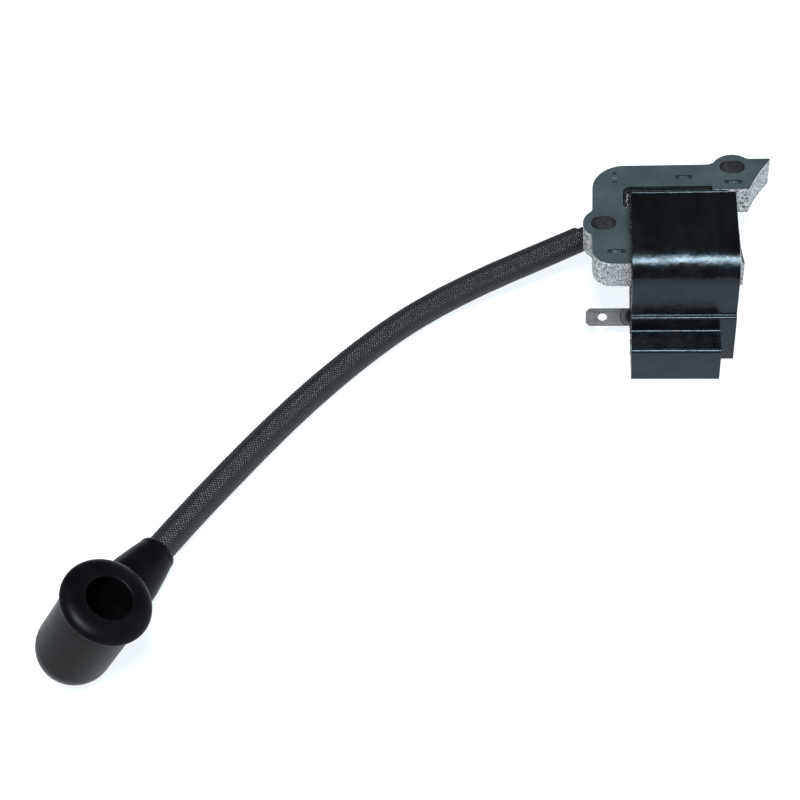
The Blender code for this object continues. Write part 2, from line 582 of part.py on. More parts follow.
# ------------------------------------------------------------------ plug boot
plug = Vector(PLUG_DIR).normalized()
E = W(*BOOT_E)
dome = arc(0, 0, BOOT_R, 0, -90, 8)
crown = [(6.6 + 4.35 * math.cos(math.radians(t)), PLUG_LEN - 2.4 + 2.4 * math.sin(math.radians(t)))
         for t in range(90, -1, -15)]
body_prof = [(0, PLUG_LEN)] + crown + [(10.8, PLUG_LEN - 3.0), (10.2, PLUG_LEN - 3.8),
                                       (BOOT_R - 0.1, PLUG_LEN - 4.8)] + dome
boot = revolve("plug_boot", body_prof, E, plug, 36, color=(0.018, 0.018, 0.02), rough=0.5)
arm_prof = [(0, ARM_LEN), (4.2, ARM_LEN), (4.7, ARM_LEN - 0.4), (4.95, ARM_LEN - 1.2),
            (5.7, ARM_LEN - 4.9), (6.7, ARM_LEN - 9.8), (7.45, ARM_LEN - 16.5),
            (8.2, 9.0), (8.7, 4.0), (0, 2.0)]
boolean(boot, revolve("add_arm", arm_prof, E, arm, 32, cutter=True), 'UNION')
bore_prof = [(0, PLUG_LEN + 2), (6.2, PLUG_LEN + 2), (6.1, PLUG_LEN - 0.15), (5.75, PLUG_LEN - 0.65),
             (BORE_R, PLUG_LEN - 1.4), (BORE_R, -0.6), (BORE_R - 0.8, -1.6), (0, -1.6)]
boolean(boot, revolve("cut_plug_bore", bore_prof, E, plug, 28, cutter=True))
sock_prof = [(0, ARM_LEN + 1), (LEAD_R + GAP, ARM_LEN + 1), (LEAD_R + GAP, ARM_LEN - 7.3),
             (INSUL_R + GAP, ARM_LEN - 7.6), (INSUL_R + GAP, 7.0), (0, 7.0)]
boolean(boot, revolve("cut_lead_socket", sock_prof, E, arm, 24, cutter=True))
boolean(boot, revolve("cut_spike_hole", [(0, 9), (0.8, 9), (0.8, 0), (0, 0)], E, arm, 12, cutter=True))

# spring terminal: a spike along the arm, then a coil up the plug bore
side = (arm - plug * arm.dot(plug)).normalized()
side2 = plug.cross(side)
R_SP, TURNS, RISE0, RISE1 = 3.6, 3.5, 1.6, 10.5
spring_pts = [E + arm * (6.9 * MM), E + arm * (5.4 * MM)]
nseg = int(TURNS * 12)
for i in range(nseg + 1):
    a = 2 * math.pi * TURNS * i / nseg
    h = RISE0 + (RISE1 - RISE0) * i / nseg
    spring_pts.append(E + (side * math.cos(a) + side2 * math.sin(a)) * (R_SP * MM) + plug * (h * MM))
tube("boot_spring", spring_pts, 0.45, 1, color=(0.65, 0.65, 0.65), metallic=1.0, rough=0.25)

# swivel: boot and spring turn about the lead's axis
for nm in ("plug_boot", "boot_spring"):
    ob = bpy.data.objects[nm]
    ob.data.transform(Matrix.Translation(-E))
    ob.matrix_world = Matrix.Translation(E)
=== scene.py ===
import math

import bmesh
import bpy
import numpy as np
from mathutils import Matrix, Vector, noise


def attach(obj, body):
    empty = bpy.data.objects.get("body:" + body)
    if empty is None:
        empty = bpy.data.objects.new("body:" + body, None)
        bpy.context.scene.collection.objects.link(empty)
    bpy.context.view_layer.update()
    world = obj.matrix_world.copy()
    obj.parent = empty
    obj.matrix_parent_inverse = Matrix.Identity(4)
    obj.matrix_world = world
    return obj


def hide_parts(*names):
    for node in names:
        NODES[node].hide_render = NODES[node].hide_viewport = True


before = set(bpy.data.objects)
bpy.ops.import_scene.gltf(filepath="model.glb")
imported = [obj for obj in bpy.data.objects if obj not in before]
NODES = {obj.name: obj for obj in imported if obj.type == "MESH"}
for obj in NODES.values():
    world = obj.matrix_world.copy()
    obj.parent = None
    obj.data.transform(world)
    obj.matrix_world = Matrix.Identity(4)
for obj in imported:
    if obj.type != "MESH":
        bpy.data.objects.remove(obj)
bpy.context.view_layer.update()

MM = 0.001
SHIFT_X, SHIFT_Y = -22.549, 25.125
scene = bpy.context.scene
root = scene.collection


def W(x, y, z):
    return Vector(((x + SHIFT_X) * MM, (y + SHIFT_Y) * MM, z * MM))


# ------------------------------------------------------------------ camera
cam_data = bpy.data.cameras.new("view")
cam = bpy.data.objects.new("view", cam_data)
root.objects.link(cam)
YAW, PITCH, ROLL = math.radians(-10.417), math.radians(50.404), math.radians(-8.010)
FWD = Vector((math.sin(YAW) * math.cos(PITCH), math.cos(YAW) * math.cos(PITCH), -math.sin(PITCH)))
RT = Vector((math.cos(YAW), -math.sin(YAW), 0.0))
UP = RT.cross(FWD)
RT, UP = RT * math.cos(ROLL) + UP * math.sin(ROLL), -RT * math.sin(ROLL) + UP * math.cos(ROLL)
m = Matrix((RT, UP, -FWD)).transposed().to_4x4()
m.translation = W(0.257, -337.245, 313.624 + 26.2)
cam.matrix_world = m
cam_data.sensor_width = 36.0
cam_data.lens = 1664.47 / 800 * 36.0
cam_data.clip_start = 0.01
cam_data.clip_end = 20.0
scene.camera = cam
scene.view_settings.view_transform = 'Standard'
scene.view_settings.look = 'None'


# --------------------------------------------------------------- node tools
class Mat:
    """A small wrapper that builds one node material."""

    def __init__(self, name):
        self.m = bpy.data.materials.new(name)
        self.m.use_nodes = True
        self.t = self.m.node_tree
        self.b = self.t.nodes["Principled BSDF"]
        self.tc = self.t.nodes.new("ShaderNodeTexCoord")
        self.obj = self.tc.outputs["Object"]

    def n(self, kind, **props):
        node = self.t.nodes.new(kind)
        for k, v in props.items():
            setattr(node, k, v)
        return node

    def link(self, a, b):
        self.t.links.new(a, b)

    def const(self, **kw):
        for k, v in kw.items():
            self.b.inputs[k.replace("_", " ")].default_value = v
        return self

    def scaled(self, sx, sy, sz, rot=(0, 0, 0)):
        mp = self.n("ShaderNodeMapping")
        mp.inputs["Scale"].default_value = (sx, sy, sz)
        mp.inputs["Rotation"].default_value = rot
        self.link(self.obj, mp.inputs["Vector"])
        return mp.outputs["Vector"]

    def noise(self, scale, detail=4.0, rough=0.5, vec=None, dist=0.0):
        nd = self.n("ShaderNodeTexNoise")
        nd.inputs["Scale"].default_value = scale
        nd.inputs["Detail"].default_value = detail
        nd.inputs["Roughness"].default_value = rough
        nd.inputs["Distortion"].default_value = dist
        self.link(vec or self.obj, nd.inputs["Vector"])
        return nd.outputs["Fac"]

    def voronoi(self, scale, feature='F1', vec=None, rand=1.0):
        nd = self.n("ShaderNodeTexVoronoi", feature=feature)
        nd.inputs["Scale"].default_value = scale
        nd.inputs["Randomness"].default_value = rand
        self.link(vec or self.obj, nd.inputs["Vector"])
        return nd.outputs["Distance"]

    def ramp(self, fac, stops, interp='LINEAR'):
        nd = self.n("ShaderNodeValToRGB")
        nd.color_ramp.interpolation = interp
        el = nd.color_ramp.elements
        while len(el) < len(stops):
            el.new(0.5)
        for e, (p, c) in zip(el, stops):
            e.position = p
            e.color = (*c, 1.0) if len(c) == 3 else c
        self.link(fac, nd.inputs["Fac"])
        return nd.outputs["Color"]

    def grey(self, fac, a, b, lo=0.0, hi=1.0):
        nd = self.n("ShaderNodeMapRange")
        nd.inputs["From Min"].default_value = lo
        nd.inputs["From Max"].default_value = hi
        nd.inputs["To Min"].default_value = a
        nd.inputs["To Max"].default_value = b
        self.link(fac, nd.inputs["Value"])
        return nd.outputs["Result"]

    def math(self, op, a, b=None):
        nd = self.n("ShaderNodeMath", operation=op)
        for i, v in enumerate((a, b)):
            if v is None:
                continue
            if isinstance(v, (int, float)):
                nd.inputs[i].default_value = v
            else:
                self.link(v, nd.inputs[i])
        return nd.outputs[0]

    def mix(self, fac, a, b, blend='MIX'):
        nd = self.n("ShaderNodeMix", data_type='RGBA', blend_type=blend)
        for s, v in ((nd.inputs["Factor"], fac), (nd.inputs["A"], a) if False else (nd.inputs[6], a), (nd.inputs[7], b)):
            if isinstance(v, (int, float)):
                s.default_value = v
            elif isinstance(v, tuple):
                s.default_value = (*v, 1.0) if len(v) == 3 else v
            else:
                self.link(v, s)
        return nd.outputs[2]

    def color(self, out):
        self.link(out, self.b.inputs["Base Color"])
        return self

    def rough(self, out):
        self.link(out, self.b.inputs["Roughness"])
        return self

    def bump(self, *layers):
        """layers are (height, strength, distance in mm)."""
        normal = None
        for h, s, d in layers:
            nd = self.n("ShaderNodeBump")
            nd.inputs["Strength"].default_value = s
            nd.inputs["Distance"].default_value = d * MM
            self.link(h, nd.inputs["Height"])
            if normal is not None:
                self.link(normal, nd.inputs["Normal"])
            normal = nd.outputs["Normal"]
        self.link(normal, self.b.inputs["Normal"])
        return self


def mat_core_face():
    m = Mat("core_face")
    m.const(Metallic=0.55, Specular_IOR_Level=0.5)
    fine = m.noise(2600, 3, 0.6)
    broad = m.noise(120, 5, 0.6)
    roll = m.noise(900, 2, 0.5, m.scaled(0.12, 1.0, 1.0))
    c = m.ramp(broad, [(0.30, (0.080, 0.106, 0.109)), (0.55, (0.098, 0.128, 0.131)), (0.75, (0.120, 0.150, 0.152))])
    c = m.mix(m.grey(fine, 0.0, 0.22, 0.35, 0.75), c, (0.14, 0.165, 0.165))
    pits = m.voronoi(700)
    c = m.mix(m.grey(pits, 0.30, 0.0, 0.02, 0.12), c, (0.33, 0.35, 0.35))
    m.color(c)
    m.rough(m.grey(m.math('ADD', broad, roll), 0.36, 0.52, 0.6, 1.4))
    m.bump((fine, 0.12, 0.02), (broad, 0.10, 0.05))
    return m.m


def mat_core_edge():
    m = Mat("core_edge")
    m.const(Metallic=0.35, Specular_IOR_Level=0.5)
    sp = m.noise(2500, 3, 0.7, m.scaled(1.0, 1.0, 0.8))
    sp2 = m.noise(900, 3, 0.6)
    streak = m.noise(1600, 2, 0.5, m.scaled(1.0, 1.0, 0.18))
    mix = m.math('ADD', m.math('MULTIPLY', sp, 0.75), m.math('MULTIPLY', sp2, 0.25))
    c = m.ramp(mix, [(0.38, (0.04, 0.04, 0.042)), (0.45, (0.20, 0.20, 0.205)), (0.51, (0.43, 0.435, 0.44)),
                     (0.58, (0.80, 0.81, 0.82))])
    c = m.mix(m.grey(streak, 0.0, 0.35, 0.45, 0.75), c, (0.30, 0.31, 0.32))
    m.color(c)
    m.rough(m.grey(sp2, 0.30, 0.60, 0.3, 0.7))
    m.bump((sp, 0.55, 0.05), (streak, 0.25, 0.05))
    return m.m


def mat_slot():
    # the mounting-slot walls get a colour far darker than the other sheared edges: painted shade inside the slots
    m = Mat("core_slot_painted_shade")
    m.const(Metallic=0.2)
    a = m.noise(420, 4, 0.6)
    b = m.noise(1600, 3, 0.6, m.scaled(0.25, 0.25, 1.0))
    c = m.ramp(a, [(0.3, (0.022, 0.019, 0.021)), (0.55, (0.045, 0.041, 0.043)), (0.75, (0.095, 0.088, 0.086))])
    c = m.mix(m.grey(b, 0.0, 0.5, 0.5, 0.75), c, (0.02, 0.016, 0.018))
    m.color(c)
    m.rough(m.grey(a, 0.4, 0.6, 0.3, 0.7))
    m.bump((b, 0.4, 0.05))
    return m.m


def mat_lance(name, lo, hi, metal, rough):
    m = Mat(name)
    m.const(Metallic=metal)
    a = m.noise(1300, 4, 0.65)
    m.color(m.ramp(a, [(0.35, lo), (0.6, hi)]))
    m.rough(m.grey(a, rough, rough + 0.15, 0.3, 0.7))
    m.bump((a, 0.5, 0.04))
    return m.m


def mat_housing():
    m = Mat("housing_gloss")
    m.const(Metallic=0.0, IOR=1.5, Specular_IOR_Level=0.36, Specular_Tint=(0.70, 0.88, 1.0, 1.0))
    lump = m.noise(85, 2, 0.4)
    orange = m.noise(420, 2, 0.5)
    specks = m.voronoi(330)
    smear = m.noise(160, 4, 0.6, m.scaled(1.0, 0.35, 1.0))
    c = m.ramp(smear, [(0.35, (0.0028, 0.0030, 0.0036)), (0.7, (0.0060, 0.0062, 0.0070))])
    rare = m.grey(m.noise(75, 2, 0.5), 0.0, 1.0, 0.60, 0.72)
    c = m.mix(m.math('MULTIPLY', m.grey(specks, 0.6, 0.0, 0.02, 0.09), rare), c, (0.06, 0.06, 0.062))
    m.color(c)
    blot = m.noise(330, 3, 0.6)
    m.rough(m.math('ADD', m.grey(smear, 0.13, 0.30, 0.3, 0.75), m.grey(blot, 0.0, 0.13, 0.42, 0.68)))
    m.bump((lump, 0.80, 0.50), (orange, 0.65, 0.13), (blot, 0.35, 0.10), (m.grey(specks, 1.0, 0.0, 0.02, 0.12), 0.12, 0.05))
    return m.m


def mat_resin():
    m = Mat("potting_resin")
    m.const(Specular_IOR_Level=0.2, IOR=1.5)
    a = m.noise(260, 6, 0.65)
    b = m.noise(1500, 3, 0.6)
    c = m.ramp(a, [(0.3, (0.0030, 0.0030, 0.0034)), (0.5, (0.0060, 0.0058, 0.0060)), (0.70, (0.014, 0.013, 0.013))])
    c = m.mix(m.grey(b, 0.0, 0.75, 0.63, 0.70), c, (0.50, 0.49, 0.48))
    m.color(c)
    m.rough(m.grey(a, 0.25, 0.7, 0.35, 0.65))
    m.bump((a, 0.7, 0.25), (b, 0.4, 0.06))
    return m.m


def mat_terminal(name="terminal_plate", darken_root=True):
    m = Mat(name)
    m.const(Metallic=0.35 if darken_root else 0.85, Specular_IOR_Level=0.35)
    roll = m.noise(900, 3, 0.5, m.scaled(0.12, 1.0, 1.0))
    spots = m.noise(240, 5, 0.65)
    k = 1.0 if darken_root else 2.2
    c = m.ramp(spots, [(0.3, (0.105 * k, 0.108 * k, 0.108 * k)), (0.6, (0.148 * k, 0.150 * k, 0.148 * k)),
                       (0.8, (0.20 * k, 0.202 * k, 0.20 * k))])
    # darker towards the root at the housing: near black at the root, a dimmer ring round it and a thin dark arc
    if darken_root:
        sep = m.n("ShaderNodeSeparateXYZ")
        m.link(m.obj, sep.inputs[0])
        px, py = (10.9 + SHIFT_X) * MM, (-36.62 + SHIFT_Y) * MM
        dx = m.math('SUBTRACT', sep.outputs[0], px)
        dy = m.math('SUBTRACT', sep.outputs[1], py)
        d = m.math('SQRT', m.math('ADD', m.math('MULTIPLY', dx, dx), m.math('MULTIPLY', dy, dy)))
        c = m.mix(m.grey(d, 0.55, 0.0, 0.0024, 0.0036), c, (0.05, 0.05, 0.051))
        c = m.mix(m.grey(d, 0.97, 0.0, 0.0018, 0.0023), c, (0.006, 0.006, 0.0065))
        c = m.mix(m.grey(m.math('ABSOLUTE', m.math('SUBTRACT', d, 0.0034)), 0.85, 0.0, 0.00010, 0.00026), c, (0.022, 0.022, 0.023))
    m.color(c)
    m.rough(m.grey(m.math('ADD', roll, spots), 0.42, 0.60, 0.7, 1.3))
    m.bump((roll, 0.18, 0.03), (spots, 0.1, 0.03))
    return m.m


def mat_braid():
    """Glossy varnished fibre: the crossings stand up and shine; the gaps between them get a near-black colour as
    painted shade.
    """
    m = Mat("braid_fibre")
    m.const(Specular_IOR_Level=0.55, IOR=1.5)
    at = m.n("ShaderNodeAttribute", attribute_name="knuckle")
    k = at.outputs["Fac"]
    hue = m.noise(300, 3, 0.6)
    fil = m.noise(5200, 2, 0.5)
    worn = m.noise(90, 3, 0.5)
    c = m.ramp(hue, [(0.35, (0.0036, 0.0038, 0.0052)), (0.7, (0.0095, 0.0097, 0.0120))])
    c = m.mix(m.grey(worn, 0.0, 0.35, 0.5, 0.75), c, (0.020, 0.018, 0.018))
    # low points between the crossings are mixed to near black: painted shade in the gaps
    c = m.mix(m.grey(k, 1.0, 0.0, 0.05, 0.45), c, (0.0010, 0.0010, 0.0013))
    m.color(c)
    m.rough(m.math('ADD', m.grey(k, 0.66, 0.12, 0.10, 0.62), m.grey(fil, 0.0, 0.10, 0.3, 0.7)))
    m.bump((fil, 0.30, 0.03))
    return m.m


def mat_rubber(name, dark, light, rough0, rough1, grain=2400, spec=0.3):
    m = Mat(name)
    m.const(Specular_IOR_Level=spec, IOR=1.5)
    a = m.noise(140, 4, 0.6)
    g = m.noise(grain, 3, 0.6)
    c = m.ramp(a, [(0.35, dark), (0.7, light)])
    m.color(c)
    m.rough(m.grey(a, rough0, rough1, 0.3, 0.7))
    m.bump((g, 0.22, 0.02), (a, 0.10, 0.08))
    return m.m


def mat_plastic(name, ca, cb, r=0.45, grain=900):
    m = Mat(name)
    a = m.noise(200, 4, 0.6)
    g = m.noise(grain, 3, 0.5)
    m.color(m.ramp(a, [(0.3, ca), (0.7, cb)]))
    m.rough(m.grey(g, r - 0.08, r + 0.1, 0.3, 0.7))
    m.bump((g, 0.25, 0.03))
    return m.m


def mat_winding(name, ca, cb):
    """Enamelled wire wound round X: fine ribs across the coil."""
    m = Mat(name)
    m.const(Metallic=0.85)
    wv = m.n("ShaderNodeTexWave", wave_type='BANDS', bands_direction='X')
    wv.inputs["Scale"].default_value = 900
    wv.inputs["Distortion"].default_value = 0.6
    wv.inputs["Detail"].default_value = 1.0
    m.link(m.obj, wv.inputs["Vector"])
    a = m.noise(240, 3, 0.5)
    m.color(m.mix(m.grey(wv.outputs["Fac"], 0.0, 0.6), m.ramp(a, [(0.3, ca), (0.7, cb)]), tuple(v * 0.35 for v in ca)))
    m.rough(m.grey(a, 0.25, 0.4))
    m.bump((wv.outputs["Fac"], 0.8, 0.08))
    return m.m


def mat_board():
    m = Mat("board_laminate")
    br = m.n("ShaderNodeTexBrick")
    br.inputs["Scale"].default_value = 160
    br.inputs["Color1"].default_value = (0.02, 0.13, 0.05, 1)
    br.inputs["Color2"].default_value = (0.025, 0.16, 0.06, 1)
    br.inputs["Mortar"].default_value = (0.10, 0.22, 0.08, 1)
    m.link(m.obj, br.inputs["Vector"])
    n = m.noise(1500, 3, 0.5)
    m.color(m.mix(m.grey(n, 0.0, 0.25), br.outputs["Color"], (0.05, 0.20, 0.09)))
    m.rough(m.grey(n, 0.28, 0.42))
    m.bump((n, 0.2, 0.03))
    return m.m


def mat_floor():
    m = Mat("pale_floor")
    n = m.noise(6, 3, 0.5)
    m.color(m.ramp(n, [(0.3, (0.30, 0.305, 0.31)), (0.7, (0.315, 0.32, 0.325))]))
    m.const(Roughness=0.85, Specular_IOR_Level=0.1, Emission_Color=(0.90, 0.96, 1.0, 1.0), Emission_Strength=0.92)
    return m.m


M_FACE, M_EDGE, M_HOUSE, M_RESIN = mat_core_face(), mat_core_edge(), mat_housing(), mat_resin()
M_SLOT = mat_slot()
M_GROUND = mat_lance("ground_wire_tinned", (0.010, 0.010, 0.011), (0.13, 0.125, 0.125), 0.6, 0.16)
# near-black colour on the yoke's inner faces and notch walls: painted shade in the gap behind the housing
M_GAP_SHADE = mat_lance("core_inner_painted_shade", (0.004, 0.0045, 0.005), (0.010, 0.011, 0.012), 0.0, 0.5)
# stake marks: a dark painted shade for their walls and end wings, a bright painted glint for their middle facets
M_LANCE = mat_lance("core_lance_shade", (0.012, 0.016, 0.017), (0.045, 0.055, 0.057), 0.4, 0.4)
M_GLINT = mat_lance("core_lance_painted_glint", (0.10, 0.12, 0.12), (0.30, 0.32, 0.32), 0.6, 0.3)
M_TAB, M_BRAID = mat_terminal(), mat_braid()
M_BOOT = mat_rubber("boot_rubber_satin", (0.0026, 0.0024, 0.0031), (0.0050, 0.0047, 0.0060), 0.30, 0.42, spec=0.07)
M_INSUL = mat_rubber("lead_rubber_matt", (0.006, 0.006, 0.0075), (0.012, 0.012, 0.014), 0.42, 0.55)


# -------------------------------------------------------------- shape tools
def arc(cx, cy, r, a0, a1, n):
    return [(cx + r * math.cos(math.radians(a0 + (a1 - a0) * i / n)),
             cy + r * math.sin(math.radians(a0 + (a1 - a0) * i / n))) for i in range(n + 1)]


def rounded(pts, seg=8):
    out = []
    n = len(pts)
    for i in range(n):
        x, y, r = pts[i]
        p = Vector((x, y))
        if r <= 0:
            out.append((x, y))
            continue
        a = (Vector(pts[i - 1][:2]) - p).normalized()
        b = (Vector(pts[(i + 1) % n][:2]) - p).normalized()
        half = a.angle(b) / 2
        d = r / math.tan(half)
        c = p + (a + b).normalized() * (r / math.sin(half))
        s, e = p + a * d - c, p + b * d - c
        t0 = math.atan2(s.y, s.x)
        dt = math.atan2(e.y, e.x) - t0
        while dt > math.pi:
            dt -= 2 * math.pi
        while dt < -math.pi:
            dt += 2 * math.pi
        for k in range(seg + 1):
            t = t0 + dt * k / seg
            out.append((c.x + r * math.cos(t), c.y + r * math.sin(t)))
    return out


def new_object(name, me):
    ob = bpy.data.objects.new(name, me)
    root.objects.link(ob)
    return ob


def apply_all(ob):
    """Replace an object's mesh by its evaluated shape in world space."""
    bpy.context.view_layer.update()
    dg = bpy.context.evaluated_depsgraph_get()
    me = bpy.data.meshes.new_from_object(ob.evaluated_get(dg), depsgraph=dg)
    me.transform(ob.matrix_world)
    name = ob.name
    bpy.data.objects.remove(ob, do_unlink=True)
    me.name = name
    return new_object(name, me)


def clean(ob, dist=2e-6, dissolve=None):
    bm = bmesh.new()
    bm.from_mesh(ob.data)
    bmesh.ops.remove_doubles(bm, verts=bm.verts, dist=dist)
    if dissolve:
        bmesh.ops.dissolve_limit(bm, angle_limit=math.radians(dissolve), verts=bm.verts, edges=bm.edges)
    bmesh.ops.recalc_face_normals(bm, faces=bm.faces)
    bm.to_mesh(ob.data)
    bm.free()
    return ob


PLANES = {'XY': Matrix(((1, 0, 0), (0, 1, 0), (0, 0, 1))).to_4x4(),
          'YZ': Matrix(((0, 0, 1), (1, 0, 0), (0, 1, 0))).to_4x4(),
          'XZ': Matrix(((1, 0, 0), (0, 0, -1), (0, 1, 0))).to_4x4()}


def prism(name, loops, plane, lo, hi, dissolve=None):
    cu = bpy.data.curves.new(name, 'CURVE')
    cu.dimensions = '2D'
    cu.fill_mode = 'BOTH'
    cu.extrude = (hi - lo) / 2 * MM
    for loop in loops:
        sp = cu.splines.new('POLY')
        sp.points.add(len(loop) - 1)
        for p, (x, y) in zip(sp.points, loop):
            p.co = (x * MM, y * MM, 0, 1)
        sp.use_cyclic_u = True
    ob = new_object(name, cu)
    mid = (lo + hi) / 2 * MM
    off = {'XY': Vector((0, 0, mid)), 'YZ': Vector((mid, 0, 0)), 'XZ': Vector((0, mid, 0))}[plane]
    ob.matrix_world = Matrix.Translation(W(0, 0, 0) + off) @ PLANES[plane]
    return clean(apply_all(ob), dissolve=dissolve)


def axis_matrix(p, d):
    return Matrix.Translation(p) @ Vector(d).normalized().to_track_quat('Z', 'Y').to_matrix().to_4x4()


def revolve(name, prof, p, d, steps=64):
    me = bpy.data.meshes.new(name)
    me.from_pydata([(r * MM, 0, z * MM) for r, z in prof], [(i, i + 1) for i in range(len(prof) - 1)], [])
    ob = new_object(name, me)
    s = ob.modifiers.new("Screw", 'SCREW')
    s.angle = 2 * math.pi
    s.steps = s.render_steps = steps
    s.use_merge_vertices = True
    s.merge_threshold = 1e-6
    ob.matrix_world = axis_matrix(p, d)
    return clean(apply_all(ob))


def box(name, x0, x1, y0, y1, z0, z1):
    bm = bmesh.new()
    bmesh.ops.create_cube(bm, size=1.0)
    bm.transform(Matrix.Translation(W((x0 + x1) / 2, (y0 + y1) / 2, (z0 + z1) / 2))
                 @ Matrix.Diagonal(((x1 - x0) * MM, (y1 - y0) * MM, (z1 - z0) * MM, 1)))
    me = bpy.data.meshes.new(name)
    bm.to_mesh(me)
    bm.free()
    return new_object(name, me)


def cyl(name, p, q, r, steps=32):
    a, b = W(*p), W(*q)
    h = (b - a).length / MM
    return revolve(name, [(0, h), (r, h), (r, 0), (0, 0)], a, b - a, steps)


def cut(ob, *cutters, op='DIFFERENCE'):
    for c in cutters:
        m = ob.modifiers.new("Cut", 'BOOLEAN')
        m.solver = 'EXACT'
        m.operation = op
        m.object = c
    ob = apply_all(ob)
    for c in cutters:
        bpy.data.objects.remove(c, do_unlink=True)
    return clean(ob)


def bevel(ob, width, seg=3, angle=40):
    m = ob.modifiers.new("Bevel", 'BEVEL')
    m.width = width * MM
    m.segments = seg
    m.limit_method = 'ANGLE'
    m.angle_limit = math.radians(angle)
    m.use_clamp_overlap = True
    return apply_all(ob)


def smooth(ob, angle=35, weighted=False):
    """Smooth shading, with edges over the angle kept sharp; weighted keeps large faces flat."""
    bm = bmesh.new()
    bm.from_mesh(ob.data)
    for f in bm.faces:
        f.smooth = True
    for e in bm.edges:
        e.smooth = not (len(e.link_faces) == 2 and e.calc_face_angle(0) > math.radians(angle))
    bm.to_mesh(ob.data)
    bm.free()
    if weighted:
        m = ob.modifiers.new("Normals", 'WEIGHTED_NORMAL')
        m.mode = 'FACE_AREA'
        m.weight = 60
        m.keep_sharp = True
        ob = apply_all(ob)
    return ob


def finish_piece(ob, body, mats, slot, *nodes):
    idx = np.zeros(len(ob.data.polygons), np.int32)
    ob.data.polygons.foreach_get("material_index", idx)
    ob.data.materials.clear()
    mats = mats if isinstance(mats, (list, tuple)) else [mats]
    for mt in mats:
        ob.data.materials.append(mt)
    ob.data.polygons.foreach_set("material_index", np.clip(idx, 0, len(mats) - 1).astype(np.int32))
    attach(ob, body)
    if nodes:
        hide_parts(*nodes)
    return ob


def mesh_arrays(ob):
    me = ob.data
    co = np.empty(len(me.vertices) * 3, np.float64)
    me.vertices.foreach_get("co", co)
    return co.reshape(-1, 3)


def set_coords(ob, co):
    ob.data.vertices.foreach_set("co", np.ascontiguousarray(co, np.float32).reshape(-1))
    ob.data.update()


# ----------------------------------------------------- dimensions of the part
CORE_TOP, STACK = 26.2, 8.5
CORE_BOT = CORE_TOP - STACK
CORE_MID = (CORE_TOP + CORE_BOT) / 2
CORE_DEPTH, YOKE_W, YOKE_POLE_W, STEP_X = 36.7, 8.2, 9.73, 31.8
LIMB_R, NOTCH_X, NOTCH_Y, COIL_LIMB_W, TIP_Y = 9.85, 8.13, 16.2, 10.0, 2.0
FLY_X, FLY_Y, FLY_R = 89.19, -28.13, 51.12
EAR_R, EAR_A, EAR_B = 5.45, (2.98, -21.8), (37.40, -1.70)
SLOT_A, SLOT_B, SLOT_HL, SLOT_HW = (2.98, -21.8), (37.40, -1.10), 3.36, 2.51
HOUSE_X0, HOUSE_X1, HOUSE_BACK, HOUSE_TOP = 10.15, 37.0, -17.9, 33.8
HOUSE_FRONT, HOUSE_ROUND, LEDGE_Z0, LEDGE_Z1 = -45.5, 8.0, 16.2, 15.0
LOWER_FRONT, BLOCK_TOP, BLOCK_FRONT, BLOCK_X1, WALL = -46.6, 11.45, -54.0, 33.0, 1.25
GAP, LEAD_R, INSUL_R, WIRE_R = 0.3, 3.75, 2.9, 0.75
LIMB_Y = -CORE_DEPTH + COIL_LIMB_W / 2
TOWER_X0, TOWER_X1, TOWER_Y, TOWER_Z, TOWER_R = 13.5, 31.5, -8.4, 11.7, 4.7
FLOOR_AXIS = LEAD_R + 0.05
BOOT_E, ARM_LEN, ARM_MOUTH = (-120.31, -142.73, 9.36), 32.7, (-105.17, -112.23, 5.94)
PLUG_DIR, PLUG_LEN, BOOT_R, FLANGE_R, BORE_R = (0.530, 0.020, 0.848), 24.2, 9.3, 10.95, 5.6
elbow, mouth = Vector(BOOT_E), Vector(ARM_MOUTH)
arm = (mouth - elbow).normalized()
plug = Vector(PLUG_DIR).normalized()

# ------------------------------------------------------------ lead, the cord
ROUTE = [(TOWER_X0 + 14.5, TOWER_Y, TOWER_Z), (TOWER_X0, TOWER_Y, TOWER_Z), (5.0, -9.35, TOWER_Z),
         (-2.7, -12.9, 11.6), (-13.0, -18.2, 10.8), (-26.55, -23.65, 8.2),
         (-39.75, -29.65, 5.4), (-52.05, -38.3, 4.0), (-63.05, -49.5, FLOOR_AXIS),
         (-73.05, -61.5, FLOOR_AXIS), (-82.2, -73.9, FLOOR_AXIS), (-90.6, -86.35, FLOOR_AXIS),
         (-98.3, -99.0, 4.35), tuple(mouth), tuple(elbow + arm * 20), tuple(elbow + arm * 7.3)]


